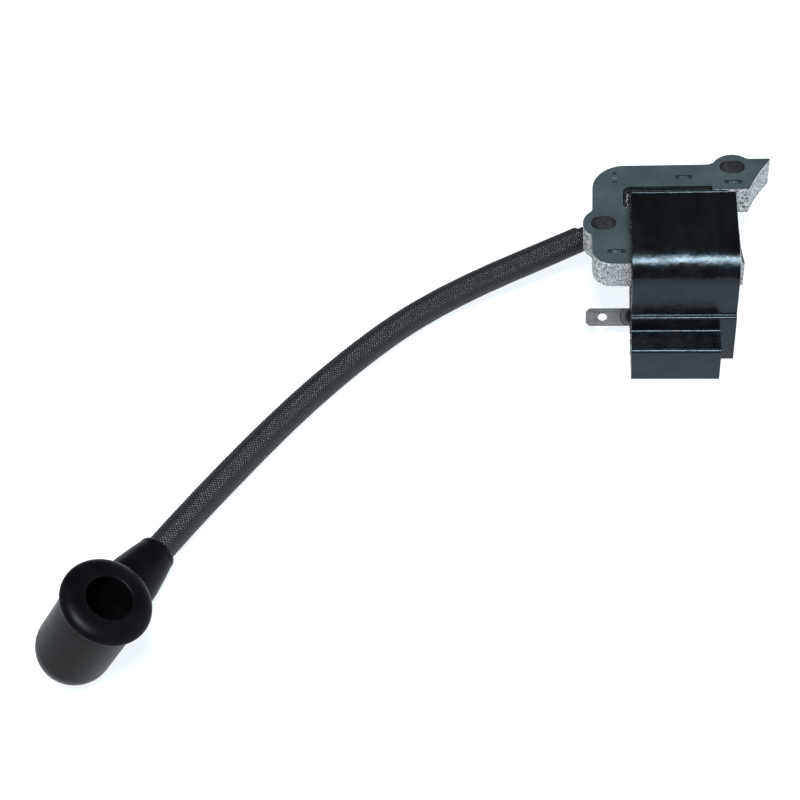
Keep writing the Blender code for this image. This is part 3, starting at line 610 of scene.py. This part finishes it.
def spline_through(pts):
    P = [Vector(p) for p in pts]
    t = [0.0]
    for a, b in zip(P, P[1:]):
        t.append(t[-1] + (b - a).length)
    n = len(P)
    h = [t[i + 1] - t[i] for i in range(n - 1)]
    res = []
    for ax in range(3):
        y = [p[ax] for p in P]
        a = [0.0] * n
        for i in range(1, n - 1):
            a[i] = 3 * (y[i + 1] - y[i]) / h[i] - 3 * (y[i] - y[i - 1]) / h[i - 1]
        low, mu, z = [1.0] * n, [0.0] * n, [0.0] * n
        for i in range(1, n - 1):
            low[i] = 2 * (t[i + 1] - t[i - 1]) - h[i - 1] * mu[i - 1]
            mu[i] = h[i] / low[i]
            z[i] = (a[i] - h[i - 1] * z[i - 1]) / low[i]
        c, b_, d_ = [0.0] * n, [0.0] * n, [0.0] * n
        for j in range(n - 2, -1, -1):
            c[j] = z[j] - mu[j] * c[j + 1]
            b_[j] = (y[j + 1] - y[j]) / h[j] - h[j] * (c[j + 1] + 2 * c[j]) / 3
            d_[j] = (c[j + 1] - c[j]) / (3 * h[j])
        res.append((y, b_, c, d_))
    total = t[-1]

    def at(s):
        s = min(max(s, 0.0), total)
        i = 0
        while i < n - 2 and s > t[i + 1]:
            i += 1
        u = s - t[i]
        return Vector([r[0][i] + r[1][i] * u + r[2][i] * u * u + r[3][i] * u ** 3 for r in res])
    return at, total


at, total = spline_through(ROUTE)
s_sleeve0 = 0.0
while at(s_sleeve0).x > -3.4:
    s_sleeve0 += 0.05
s_sleeve1 = total - (ARM_LEN - 7.3) + 6.6


def frames(s0, s1, n):
    """Points, and two directions square to the path at each, carried along without twist."""
    S = np.linspace(s0, s1, n)
    P = np.array([at(s) for s in S])
    T = np.gradient(P, axis=0)
    T /= np.linalg.norm(T, axis=1)[:, None]
    U = np.empty_like(T)
    u = np.cross(T[0], (0, 0, 1.0))
    u /= np.linalg.norm(u)
    for i in range(n):
        u = u - T[i] * (u @ T[i])
        u /= np.linalg.norm(u)
        U[i] = u
    V = np.cross(T, U)
    seg = np.r_[0, np.cumsum(np.linalg.norm(np.diff(P, axis=0), axis=1))]
    return P, T, U, V, seg


def grid_tube(name, P, U, V, R, inner=None):
    """A closed tube from a radius for every point of the grid; inner is a bore radius, or none for a solid end."""
    n, k = R.shape
    phi = np.linspace(0, 2 * np.pi, k, endpoint=False)
    ring = lambda i, r: P[i] + (np.cos(phi)[:, None] * U[i] + np.sin(phi)[:, None] * V[i]) * np.asarray(r).reshape(-1, 1)
    co = [ring(i, R[i]) for i in range(n)]
    if inner is not None:
        back = sorted(set(list(range(0, n - 1, 12)) + [n - 1]), reverse=True)
        co += [ring(i, np.full(k, inner)) for i in back]
    co = np.concatenate(co)
    rows = len(co) // k
    a = np.arange(rows * k).reshape(rows, k)
    b = np.roll(a, -1, axis=1)
    faces = np.stack([a[:-1], a[1:], b[1:], b[:-1]], axis=-1).reshape(-1, 4)
    if inner is not None:
        faces = np.concatenate([faces, np.stack([a[-1], a[0], b[0], b[-1]], axis=-1)])
    faces = [tuple(f) for f in faces.tolist()]
    if inner is None:
        faces += [tuple(a[0].tolist()), tuple(a[-1][::-1].tolist())]
    me = bpy.data.meshes.new(name)
    xyz = np.array([[(x + SHIFT_X) * MM, (y + SHIFT_Y) * MM, z * MM] for x, y, z in co])
    me.from_pydata(xyz.tolist(), [], faces)
    return smooth(new_object(name, me), 50)


# braided sleeve: two sets of strands crossing, a raised knuckle at every crossing
N_ROWS, N_AROUND = 1480, 160
P, T, U, V, seg = frames(s_sleeve0, s_sleeve1, N_ROWS)
STRANDS, PITCH_A = 20, 0.80
phi = np.linspace(0, 2 * np.pi, N_AROUND, endpoint=False)[None, :]
s_ = seg[:, None]
rng = np.random.default_rng(7)
sway = np.interp(np.arange(N_ROWS), np.linspace(0, N_ROWS - 1, 34), rng.normal(0, 0.16, 34))[:, None]
uu = (phi + 0.10 * sway) * STRANDS / (2 * np.pi) + s_ / PITCH_A + sway
vv = (phi + 0.10 * sway) * STRANDS / (2 * np.pi) - s_ / PITCH_A + 0.6 * sway
cu, cv = 0.5 + 0.5 * np.cos(2 * np.pi * uu), 0.5 + 0.5 * np.cos(2 * np.pi * vv)
pull = 1.0 + 0.25 * np.sin(2 * np.pi * np.floor(uu) * 0.37) * np.sin(2 * np.pi * np.floor(vv) * 0.29)
H = 0.95 * (cu * cv) ** 0.8 * pull + 0.06 * np.maximum(cu, cv)
slow = np.interp(np.arange(N_ROWS), np.linspace(0, N_ROWS - 1, 60), rng.normal(0, 1, 60))[:, None]
body = np.interp(np.linspace(0, 1, N_ROWS), [0, 0.12, 0.35, 0.75, 1.0], [-0.14, -0.06, 0.02, 0.08, -0.02])[:, None]
R = LEAD_R + body - 0.18 + 0.185 * H + 0.015 * slow
end = np.clip(np.minimum(seg, seg[-1] - seg) / 0.8, 0, 1)[:, None]
R = R - 0.15 * (1 - end) ** 2
R = np.minimum(R, LEAD_R + 0.08)
sleeve = grid_tube("braided_sleeve", P, U, V, R, inner=INSUL_R + 0.12)
knuckle = sleeve.data.attributes.new("knuckle", 'FLOAT', 'POINT')
values = np.zeros(len(sleeve.data.vertices), np.float32)
values[:H.size] = np.clip((cu * cv) ** 0.8 * pull, 0, 1.2).reshape(-1)
knuckle.data.foreach_set("value", values)
finish_piece(sleeve, "module", M_BRAID, "braid", "lead_sleeve")

# insulated wire inside it, seen where it leaves the core
n2 = 260
P2, T2, U2, V2, seg2 = frames(0.2, total - 0.1, n2)
R2 = np.full((n2, 40), INSUL_R)
wire = grid_tube("lead_wire", P2, U2, V2, R2, inner=WIRE_R + 0.15)
finish_piece(wire, "module", M_INSUL, "lead_rubber", "lead_insulation")

# ------------------------------------------------------------ laminated core
def fly_x(y):
    return FLY_X - math.sqrt(FLY_R ** 2 - (y - FLY_Y) ** 2)


def fly_arc(y0, y1, n):
    return [(fly_x(y0 + (y1 - y0) * i / n), y0 + (y1 - y0) * i / n) for i in range(n + 1)]


def ear_fillet(cx, cy, r, f, edge, side, axis):
    if axis == 'x':
        fx = edge - f
        fy = cy + math.sqrt((r + f) ** 2 - (fx - cx) ** 2) * side
    else:
        fy = edge + f
        fx = cx + math.sqrt((r + f) ** 2 - (fy - cy) ** 2) * side
    return (fx, fy), math.degrees(math.atan2(cy - fy, cx - fx))


def core_outline():
    out = arc(8.6, -8.6, 8.6, 90, 180, 18)
    f = 1.6
    (fx, fy), ang = ear_fillet(*EAR_A, EAR_R, f, 0.0, +1, 'x')
    out += arc(fx, fy, f, 0, ang, 7)
    a_in = math.degrees(math.atan2(fy - EAR_A[1], fx - EAR_A[0]))
    (gx, gy), bng = ear_fillet(*EAR_A, EAR_R, f, 0.0, -1, 'x')
    a_out = math.degrees(math.atan2(gy - EAR_A[1], gx - EAR_A[0])) + 360
    out += arc(*EAR_A, EAR_R, a_in, a_out, 26)[1:-1]
    out += arc(gx, gy, f, bng, 0, 7)
    out += arc(5.2, -CORE_DEPTH + 5.2, 5.2, 180, 270, 14)
    lower_back = -CORE_DEPTH + COIL_LIMB_W
    out += fly_arc(-CORE_DEPTH, lower_back, 12)
    out += rounded([(fly_x(lower_back), lower_back, 0), (LIMB_R, lower_back, 0.8), (LIMB_R, -NOTCH_Y, 0),
                    (NOTCH_X, -NOTCH_Y, 1.2), (NOTCH_X, -YOKE_W, 2.0), (STEP_X, -YOKE_W, 0),
                    (STEP_X, -YOKE_POLE_W, 0), (fly_x(-YOKE_POLE_W), -YOKE_POLE_W, 0)], 7)[1:-1]
    out += fly_arc(-YOKE_POLE_W, TIP_Y - 0.45, 14)
    out += [(fly_x(TIP_Y) - 0.5, TIP_Y)]
    (hx, hy), hng = ear_fillet(*EAR_B, EAR_R, 2.2, TIP_Y, +1, 'y')
    out += arc(hx, hy, 2.2, -90, hng, 6)
    b_in = math.degrees(math.atan2(hy - EAR_B[1], hx - EAR_B[0]))
    (kx, ky), kng = ear_fillet(*EAR_B, EAR_R, 3.0, 0.0, -1, 'y')
    b_out = math.degrees(math.atan2(ky - EAR_B[1], kx - EAR_B[0]))
    out += arc(*EAR_B, EAR_R, b_in, b_out, 20)[1:-1]
    out += arc(kx, ky, 3.0, kng, -90, 8)
    return out


def slot_loop(c):
    s = SLOT_HL - SLOT_HW
    return arc(c[0] + s, c[1], SLOT_HW, -90, 90, 18) + arc(c[0] - s, c[1], SLOT_HW, 90, 270, 18)


def stake_cutter(i, x, y, along, length, width, depth):
    """A lanced interlock: the strip is pressed down, sloping from both ends."""
    h = length / 2
    prof = [(-h, 0.6), (-h, 0.02)] + [(h * t, -depth * (1 - abs(t) ** 1.6)) for t in
                                      (-0.75, -0.5, -0.36, -0.2, 0.0, 0.2, 0.36, 0.5, 0.75)] + [(h, 0.02), (h, 0.6)]
    if along == 'x':
        return prism("stake_%d" % i, [[(x + a, CORE_TOP + b) for a, b in prof]], 'XZ', y - width / 2, y + width / 2)
    return prism("stake_%d" % i, [[(y + a, CORE_TOP + b) for a, b in prof]], 'YZ', x - width / 2, x + width / 2)


SHEETS = 17
TH = STACK / SHEETS
OUT = core_outline()
rng = np.random.default_rng(3)
parts = []
for k in range(SHEETS):
    z0 = CORE_BOT + k * TH
    top = k >= SHEETS - 1
    thick = TH * (2 if False else 1)
    sh = prism("sheet_%02d" % k, [OUT, slot_loop(SLOT_A), slot_loop(SLOT_B)], 'XY', z0 + 0.006, z0 + thick - 0.006)
    if top:
        cutters = [stake_cutter(0, 6.02, -4.6, 'y', 4.3, 1.25, 0.42), stake_cutter(1, 24.4, -4.7, 'x', 4.7, 1.3, 0.42),
                   stake_cutter(2, 37.4, -6.9, 'x', 4.9, 1.35, 0.42), stake_cutter(3, 6.25, -32.2, 'x', 4.9, 1.35, 0.42)]
        sh = cut(sh, *cutters)
    sh = bevel(sh, 0.13 if top else 0.045, 3 if top else 1, 35)
    if not top:
        co = mesh_arrays(sh)
        co[:, 0] += rng.normal(0, 0.016) * MM
        co[:, 1] += rng.normal(0, 0.016) * MM
        set_coords(sh, co)
    parts.append(sh)
bm = bmesh.new()
for sh in parts:
    bm.from_mesh(sh.data)
me = bpy.data.meshes.new("core_laminations")
bm.normal_update()
STAKES = ((6.02, -4.6, 1.25, 4.3), (24.4, -4.7, 4.7, 1.3), (37.4, -6.9, 4.9, 1.35), (6.25, -32.2, 4.9, 1.35))


def core_material(f):
    c = f.calc_center_median() / MM
    x, y, z = c.x - SHIFT_X, c.y - SHIFT_Y, c.z
    # Stake marks: walls and end wings take the dark painted shade (3), the middle facets the bright painted glint (4).
    for sx, sy, lx, ly in STAKES:
        if abs(x - sx) < lx / 2 + 0.02 and abs(y - sy) < ly / 2 + 0.02 and CORE_TOP - 0.7 < z < CORE_TOP - 0.03:
            if abs(f.normal.z) < 0.5:
                return 3
            off = (x - sx) / lx if lx > ly else (y - sy) / ly
            return 3 if abs(off) > 0.30 else (4 if abs(off) < 0.05 else 0)
    if abs(f.normal.z) > 0.25:
        return 0
    # mounting-slot walls take the dark painted shade
    for px_, py_ in (SLOT_A, SLOT_B):
        if abs(x - px_) < SLOT_HL + 0.2 and abs(y - py_) < SLOT_HW + 0.2:
            return 2
    # yoke inner faces and notch walls that face the housing take the near-black painted shade
    if y > -17.5 and x > 7.9 and x < STEP_X + 0.3 and y < -7.0:
        return 5
    return 1


for f in bm.faces:
    f.material_index = core_material(f)
bm.to_mesh(me)
bm.free()
for sh in parts:
    bpy.data.objects.remove(sh, do_unlink=True)
core = smooth(new_object("core_laminations", me), 50, True)
finish_piece(core, "module", [M_FACE, M_EDGE, M_SLOT, M_LANCE, M_GLINT, M_GAP_SHADE], "core_steel", "core_stack")

# ------------------------------------------------------------- coil housing
profile = rounded([
    (HOUSE_BACK, 0, 0.8), (HOUSE_BACK, HOUSE_TOP, 1.0), (HOUSE_FRONT, HOUSE_TOP, HOUSE_ROUND),
    (HOUSE_FRONT, LEDGE_Z0 + 0.22, 0.06), (HOUSE_FRONT - 0.46, LEDGE_Z0 + 0.22, 0.30),
    (HOUSE_FRONT - 0.46, LEDGE_Z0 - 0.16, 0.06), (LOWER_FRONT, LEDGE_Z0 - 0.16, 0.52), (LOWER_FRONT, BLOCK_TOP, 0.6),
    (BLOCK_FRONT, BLOCK_TOP, 0.9), (BLOCK_FRONT, 0, 0.8)], 12)
house = prism("coil_shell", [profile], 'YZ', HOUSE_X0, HOUSE_X1, dissolve=0.05)
house = cut(house, box("c0", BLOCK_X1, HOUSE_X1 + 2, BLOCK_FRONT - 2, LOWER_FRONT, -2, BLOCK_TOP + 1.2))
bm = bmesh.new()
bm.from_mesh(house.data)
weight = bm.edges.layers.float.new("bevel_weight_edge")
open_x = W(HOUSE_X0 + 0.02, 0, 0).x
for e in bm.edges:
    if len(e.link_faces) == 2 and e.calc_face_angle() > math.radians(50):
        e[weight] = 0.32 if all(v.co.x < open_x for v in e.verts) else 1.0
bm.to_mesh(house.data)
bm.free()
md = house.modifiers.new("Edges", 'BEVEL')
md.limit_method = 'WEIGHT'
md.width = 0.75 * MM
md.segments = 5
house = apply_all(house)
tower = rounded([(HOUSE_BACK - 0.6, TOWER_Z - TOWER_R, 0), (TOWER_Y + TOWER_R, TOWER_Z - TOWER_R, 4.2),
                 (TOWER_Y + TOWER_R, TOWER_Z + TOWER_R, 4.2), (HOUSE_BACK - 0.6, TOWER_Z + TOWER_R, 0)], 12)
tw = bevel(prism("tw", [tower], 'YZ', TOWER_X0, TOWER_X1, dissolve=0.05), 0.5, 3, 50)
house = cut(house, tw, op='UNION')
cy0, cy1 = HOUSE_BACK - WALL, HOUSE_FRONT + WALL
cavity = rounded([(cy0, WALL, 0.4), (cy0, HOUSE_TOP - WALL, 0.4), (cy1, HOUSE_TOP - WALL, HOUSE_ROUND - WALL),
                  (cy1, BLOCK_TOP - WALL, 0), (BLOCK_FRONT + WALL, BLOCK_TOP - WALL, 0.3),
                  (BLOCK_FRONT + WALL, WALL, 0.3)], 8)
cavity_r = rounded([(cy0, WALL, 0.4), (cy0, HOUSE_TOP - WALL, 0.4), (cy1, HOUSE_TOP - WALL, HOUSE_ROUND - WALL),
                    (cy1, WALL, 0.3)], 8)
SP_Y, SP_Z = COIL_LIMB_W / 2 + GAP + 0.7, STACK / 2 + GAP + 0.7
house = cut(house, prism("c1", [cavity], 'YZ', HOUSE_X0 - 1, BLOCK_X1 - WALL),
            prism("c2", [cavity_r], 'YZ', BLOCK_X1 - WALL - 1.0, HOUSE_X1 - WALL),
            box("c3", HOUSE_X1 - 3, HOUSE_X1 + 1, LIMB_Y - SP_Y - GAP, LIMB_Y + SP_Y + GAP,
                CORE_MID - SP_Z - GAP, CORE_MID + SP_Z + GAP),
            cyl("c4", (TOWER_X0 - 1, TOWER_Y, TOWER_Z), (28.6, TOWER_Y, TOWER_Z), INSUL_R + GAP),
            cyl("c5", (27.5, TOWER_Y, TOWER_Z), (30.4, TOWER_Y, TOWER_Z), 1.3, 24),
            cyl("c6", (29.4, TOWER_Y, TOWER_Z), (29.4, HOUSE_BACK - 3, TOWER_Z), 0.9, 24),
            cyl("c7", (TOWER_X0 - 1, TOWER_Y, TOWER_Z), (TOWER_X0 + 2.0, TOWER_Y, TOWER_Z), 3.95))
house = smooth(house, 50, True)
finish_piece(house, "module", M_HOUSE, "housing_plastic", "coil_housing")

# moulded lip along the back of the housing's roof
lip = prism("housing_lip", [rounded([(HOUSE_BACK - 0.02, HOUSE_TOP - 1.3, 0), (HOUSE_BACK - 0.02, HOUSE_TOP + 0.16, 0.30),
                                     (HOUSE_BACK - 0.62, HOUSE_TOP + 0.16, 0.22), (HOUSE_BACK - 0.95, HOUSE_TOP - 0.12, 0.05),
                                     (HOUSE_BACK - 0.95, HOUSE_TOP - 1.3, 0)], 6)], 'YZ', HOUSE_X0 + 0.05, HOUSE_X1 - 1.9, dissolve=0.01)
lip = smooth(bevel(lip, 0.12, 2, 50), 50, True)
finish_piece(lip, "module", M_HOUSE, "housing_plastic")

# --------------------------------------------------- potting and ground wire
pot_out = rounded([(cy0 - 0.05, WALL + 0.05, 0.3), (cy0 - 0.05, HOUSE_TOP - WALL - 0.05, 0.3),
                   (cy1 + 0.05, HOUSE_TOP - WALL - 0.05, HOUSE_ROUND - WALL - 0.05),
                   (cy1 + 0.05, BLOCK_TOP - WALL - 0.05, 0), (BLOCK_FRONT + WALL + 0.05, BLOCK_TOP - WALL - 0.05, 0.2),
                   (BLOCK_FRONT + WALL + 0.05, WALL + 0.05, 0.2)], 6)
hy, hz = COIL_LIMB_W / 2 + 2 * GAP + 0.7, STACK / 2 + 2 * GAP + 0.7
hole = rounded([(LIMB_Y - hy, CORE_MID - hz, 0.5), (LIMB_Y + hy, CORE_MID - hz, 0.5),
                (LIMB_Y + hy, CORE_MID + hz, 0.5), (LIMB_Y - hy, CORE_MID + hz, 0.5)], 4)
resin = prism("potting_fill", [pot_out, hole], 'YZ', HOUSE_X0 + 0.3, HOUSE_X0 + 2.8)
rm = resin.modifiers.new("Grid", 'REMESH')
rm.mode = 'VOXEL'
rm.voxel_size = 0.30 * MM
resin = apply_all(resin)
co = mesh_arrays(resin)
x_face = (HOUSE_X0 + 0.3 + SHIFT_X) * MM
for k in np.nonzero(co[:, 0] < x_face + 0.12 * MM)[0]:
    x, y, z = co[k]
    q = Vector((0.0, y, z)) * 1000
    lump = 0.5 + 0.5 * noise.noise(q * 0.55) + 0.35 * noise.noise(q * 1.9 + Vector((3, 1, 7)))
    free = z / MM > CORE_TOP + 0.3 or z / MM < CORE_BOT - 0.3 or y / MM - SHIFT_Y < -CORE_DEPTH - 0.3
    co[k, 0] = x - (0.62 if free else 0.30) * MM * max(0.0, min(1.0, lump))
set_coords(resin, co)
smooth(resin, 60)
finish_piece(resin, "module", M_RESIN, "potting", "potting_compound")

rng = np.random.default_rng(11)
dabs = [(9.75, -16.2, 23.6, 0.75, 1.15, 1.5), (9.85, -16.9, 25.2, 0.55, 0.9, 1.1)]
for k in range(26):
    dy = -18.2 - 24.5 * k / 25 + rng.normal(0, 0.35)
    drop = max(0.0, HOUSE_FRONT + HOUSE_ROUND - dy)
    top_z = HOUSE_TOP - HOUSE_ROUND + math.sqrt(max(0.0, HOUSE_ROUND ** 2 - drop ** 2))
    dabs.append((10.05 + rng.normal(0, 0.05), dy, top_z - 1.25 - abs(rng.normal(0, 0.35)),
                 rng.uniform(0.16, 0.34), rng.uniform(0.35, 0.9), rng.uniform(0.22, 0.45)))
bm = bmesh.new()
for cx, cy, cz, rx, ry, rz in dabs:
    res = bmesh.ops.create_icosphere(bm, subdivisions=4, radius=1.0)
    for v in res["verts"]:
        k = 1 + 0.28 * noise.noise(v.co * 2.0 + Vector((cx * 3, cy, cz)))
        v.co = W(cx + v.co.x * rx * k, cy + v.co.y * ry * k, cz + v.co.z * rz * k)
bmesh.ops.recalc_face_normals(bm, faces=bm.faces)
me = bpy.data.meshes.new("resin_dabs")
bm.to_mesh(me)
bm.free()
dab = smooth(new_object("resin_dabs", me), 70)
finish_piece(dab, "module", M_RESIN, "potting")

bm = bmesh.new()
for strand in range(3):
    n = 150
    ring_n = 8
    rows = []
    for i in range(n + 1):
        t = i / n
        a = 2 * math.pi * (t * 4.6 + strand / 3)
        wob = 0.16 * math.sin(9.0 * t + strand)
        c = Vector((9.02 + wob + 0.40 * math.cos(a), -15.0 + 6.1 * t, 24.75 - 0.5 * t + 0.36 * math.sin(a)))
        a2 = a + 0.02
        t2 = t + 0.02 / (2 * math.pi * 4.6)
        d = (Vector((9.02 + wob + 0.40 * math.cos(a2), -15.0 + 6.1 * t2, 24.75 - 0.5 * t2 + 0.36 * math.sin(a2))) - c).normalized()
        u = d.cross(Vector((0, 0, 1))).normalized()
        v = d.cross(u)
        rr = 0.25 * (1 if 0 < i < n else 0.5)
        rows.append([bm.verts.new(W(*(c + (u * math.cos(b) + v * math.sin(b)) * rr)))
                     for b in [2 * math.pi * q / ring_n for q in range(ring_n)]])
    for r0, r1 in zip(rows, rows[1:]):
        for q in range(ring_n):
            bm.faces.new((r0[q], r0[(q + 1) % ring_n], r1[(q + 1) % ring_n], r1[q]))
    bm.faces.new(rows[0][::-1])
    bm.faces.new(rows[-1])
# solder joint that ties the strands to the core, and a dab in the gap
for cx, cy, cz, rx, ry, rz in ((8.95, -14.7, 24.7, 0.62, 0.85, 0.7), (9.98, -18.6, 25.75, 0.14, 0.5, 0.35)):
    res = bmesh.ops.create_icosphere(bm, subdivisions=4, radius=1.0)
    for v in res["verts"]:
        k = 1 + 0.16 * noise.noise(v.co * 2.2 + Vector((cx, cy, 0)))
        v.co = W(cx + v.co.x * rx * k, cy + v.co.y * ry * k, cz + v.co.z * rz * k)
bmesh.ops.recalc_face_normals(bm, faces=bm.faces)
me = bpy.data.meshes.new("ground_wire")
bm.to_mesh(me)
bm.free()
ground = smooth(new_object("ground_wire", me), 70)
finish_piece(ground, "module", M_GROUND, "terminal_steel", "ground_strap")

# ------------------------------------------------------------ blade terminal
TAB_Y, TAB_Z, TW, TAB_TILT = -36.62, 5.55, 2.55, 12.0
rot = Matrix.Rotation(math.radians(TAB_TILT), 4, 'X')


def tilted(name, loops, thick):
    ob = prism(name, loops, 'XY', -thick / 2, thick / 2, dissolve=None)
    ob.data.transform(Matrix.Translation(-W(0, 0, 0)))
    ob.data.transform(rot)
    ob.data.transform(Matrix.Translation(W(0, TAB_Y, TAB_Z)))
    return ob


tab_loop = [(-1.75, -TW + 0.95), (-1.75, TW - 0.95), (-0.7, TW), (16.5, TW), (16.5, -TW), (-0.7, -TW)]
tab = tilted("blade_terminal", [tab_loop, arc(2.7, 0, 1.28, 0, 350, 35)], 0.8)
tab = smooth(bevel(tab, 0.10, 2, 50), 60, True)
finish_piece(tab, "module", M_TAB, "terminal_steel", "kill_terminal")

# ------------------------------------------------------------------ plug boot
E = W(*BOOT_E)
body_prof = [(0, PLUG_LEN - 4.6), (BOOT_R, PLUG_LEN - 4.6)] + arc(0, 0, BOOT_R, 0, -90, 20)
boot = revolve("boot_shell", body_prof, E, plug, 96)
arm_prof = [(0, ARM_LEN - 1.5), (4.95, ARM_LEN - 1.5), (5.7, ARM_LEN - 4.6), (6.7, ARM_LEN - 9.7),
            (7.45, ARM_LEN - 16.5), (8.2, 9.0), (8.7, 4.0), (0, 2.0)]
boot = cut(boot, revolve("b1", arm_prof, E, arm, 80), op='UNION')
rm = boot.modifiers.new("Blend", 'REMESH')
rm.mode = 'VOXEL'
rm.voxel_size = 0.36 * MM
rm.adaptivity = 0.0
boot = apply_all(boot)
sm = boot.modifiers.new("Relax", 'SMOOTH')
sm.factor = 0.5
sm.iterations = 9
boot = apply_all(boot)
crown = [(6.6 + 4.33 * math.cos(math.radians(t)), PLUG_LEN - 2.4 + 2.38 * math.sin(math.radians(t)))
         for t in range(90, -1, -6)]
flange = ([(0, PLUG_LEN - 0.02)] + crown
          + [(10.86, PLUG_LEN - 2.66), (10.6, PLUG_LEN - 2.9), (10.1, PLUG_LEN - 3.1), (9.6, PLUG_LEN - 3.6),
             (9.34, PLUG_LEN - 4.4), (9.2, PLUG_LEN - 6.4), (0, PLUG_LEN - 6.4)])
collar = [(0, ARM_LEN - 0.02), (4.1, ARM_LEN - 0.02), (4.55, ARM_LEN - 0.16), (4.82, ARM_LEN - 0.55),
          (4.93, ARM_LEN - 1.1), (4.97, ARM_LEN - 1.7), (5.12, ARM_LEN - 2.4), (5.45, ARM_LEN - 3.8), (0, ARM_LEN - 3.8)]
boot = cut(boot, revolve("b5", flange, E, plug, 112), op='UNION')
boot = cut(boot, revolve("b6", collar, E, arm, 72), op='UNION')
bore_prof = [(0, PLUG_LEN + 1), (5.85, PLUG_LEN + 1), (5.78, PLUG_LEN - 0.03), (5.6, PLUG_LEN - 0.10), (5.48, PLUG_LEN - 0.28),
             (5.46, PLUG_LEN - 0.7), (BORE_R, PLUG_LEN - 1.5), (BORE_R, -0.6), (BORE_R - 0.8, -1.6), (0, -1.6)]
sock_prof = [(0, ARM_LEN + 1), (LEAD_R + 0.12, ARM_LEN + 1), (LEAD_R + 0.12, ARM_LEN - 7.3), (INSUL_R + GAP, ARM_LEN - 7.6),
             (INSUL_R + GAP, 7.0), (0, 7.0)]
boot = cut(boot, revolve("b2", bore_prof, E, plug, 84), revolve("b3", sock_prof, E, arm, 48),
           revolve("b4", [(0, 9), (0.8, 9), (0.8, 0), (0, 0)], E, arm, 16))
smooth(boot, 42)
finish_piece(boot, "boot", M_BOOT, "boot_rubber", "plug_boot")

# ------------------------------------------------- pieces carried from the CAD
def dress(node, mat):
    o = NODES[node]
    o.data.materials.clear()
    o.data.materials.append(mat)


M_NATURAL = mat_plastic("bobbin_grey", (0.36, 0.37, 0.38), (0.46, 0.47, 0.48), 0.42)
M_BOBBIN2 = mat_plastic("bobbin_cream", (0.42, 0.40, 0.33), (0.52, 0.49, 0.42), 0.45)
M_BLACKC = mat_plastic("component_epoxy", (0.012, 0.012, 0.014), (0.02, 0.02, 0.022), 0.4)
M_TAN = mat_plastic("resistor_coat", (0.30, 0.20, 0.10), (0.42, 0.30, 0.17), 0.38)
M_RED = mat_plastic("capacitor_dip", (0.30, 0.03, 0.02), (0.42, 0.06, 0.04), 0.25)
M_COP1 = mat_winding("wire_heavy", (0.42, 0.13, 0.045), (0.55, 0.19, 0.07))
M_COP2 = mat_winding("wire_fine", (0.40, 0.16, 0.06), (0.52, 0.23, 0.09))
M_PIN = mat_terminal("pin_plated", False)
dress("primary_bobbin", M_NATURAL)
dress("secondary_bobbin", M_BOBBIN2)
dress("primary_winding", M_COP1)
for k in (1, 2, 3):
    dress("secondary_winding_%d" % k, M_COP2)
dress("circuit_board", mat_board())
for nme in ("switching_transistor", "trigger_transistor", "flyback_diode"):
    dress(nme, M_BLACKC)
for nme in ("base_resistor", "timing_resistor"):
    dress(nme, M_TAN)
dress("timing_capacitor", M_RED)
dress("ht_pin", M_PIN)
dress("lead_conductor", M_COP1)
dress("lead_seal", M_INSUL)
dress("boot_spring", mat_lance("spring_wire_dark", (0.010, 0.010, 0.011), (0.035, 0.034, 0.034), 0.6, 0.45))

# -------------------------------------------------------------- floor, lights
bm = bmesh.new()
bmesh.ops.create_grid(bm, x_segments=8, y_segments=8, size=3.0)
me = bpy.data.meshes.new("floor")
bm.to_mesh(me)
bm.free()
floor = new_object("floor", me)
floor.location = (0, 0, -0.0001)
floor.data.materials.append(mat_floor())


def area(name, loc, target, size, power, color=(1, 1, 1), size_y=None):
    l = bpy.data.lights.new(name, 'AREA')
    l.energy = power
    l.color = color
    l.size = size
    if size_y:
        l.shape = 'RECTANGLE'
        l.size_y = size_y
    o = bpy.data.objects.new(name, l)
    root.objects.link(o)
    o.location = loc
    o.rotation_euler = (Vector(target) - Vector(loc)).to_track_quat('-Z', 'Y').to_euler()
    return o


area("softbox", (0.03, -0.35, 0.965), (-0.05, -0.04, 0), 0.34, 14.0, (0.88, 0.955, 1.0))
w = bpy.data.worlds.new("room")
scene.world = w
w.use_nodes = True
nt = w.node_tree
bg = nt.nodes["Background"]
wtc = nt.nodes.new("ShaderNodeTexCoord")
sepw = nt.nodes.new("ShaderNodeSeparateXYZ")
nt.links.new(wtc.outputs["Generated"], sepw.inputs[0])


def wmath(op, a, b):
    nd = nt.nodes.new("ShaderNodeMath")
    nd.operation = op
    for sock, v in zip(nd.inputs, (a, b)):
        if isinstance(v, (int, float)):
            sock.default_value = v
        else:
            nt.links.new(v, sock)
    return nd.outputs[0]


# a dark room with a pale band round the horizon and two wide side fills
side = wmath('POWER', wmath('ABSOLUTE', sepw.outputs[0], 0.0), 2.5)
low = wmath('POWER', wmath('SUBTRACT', 1.0, wmath('ABSOLUTE', sepw.outputs[2], 0.0)), 7.0)
strength = wmath('ADD', wmath('ADD', 0.05, wmath('MULTIPLY', side, 0.75)), wmath('MULTIPLY', low, 0.22))
bg.inputs["Color"].default_value = (0.90, 0.95, 1.0, 1)
nt.links.new(strength, bg.inputs["Strength"])
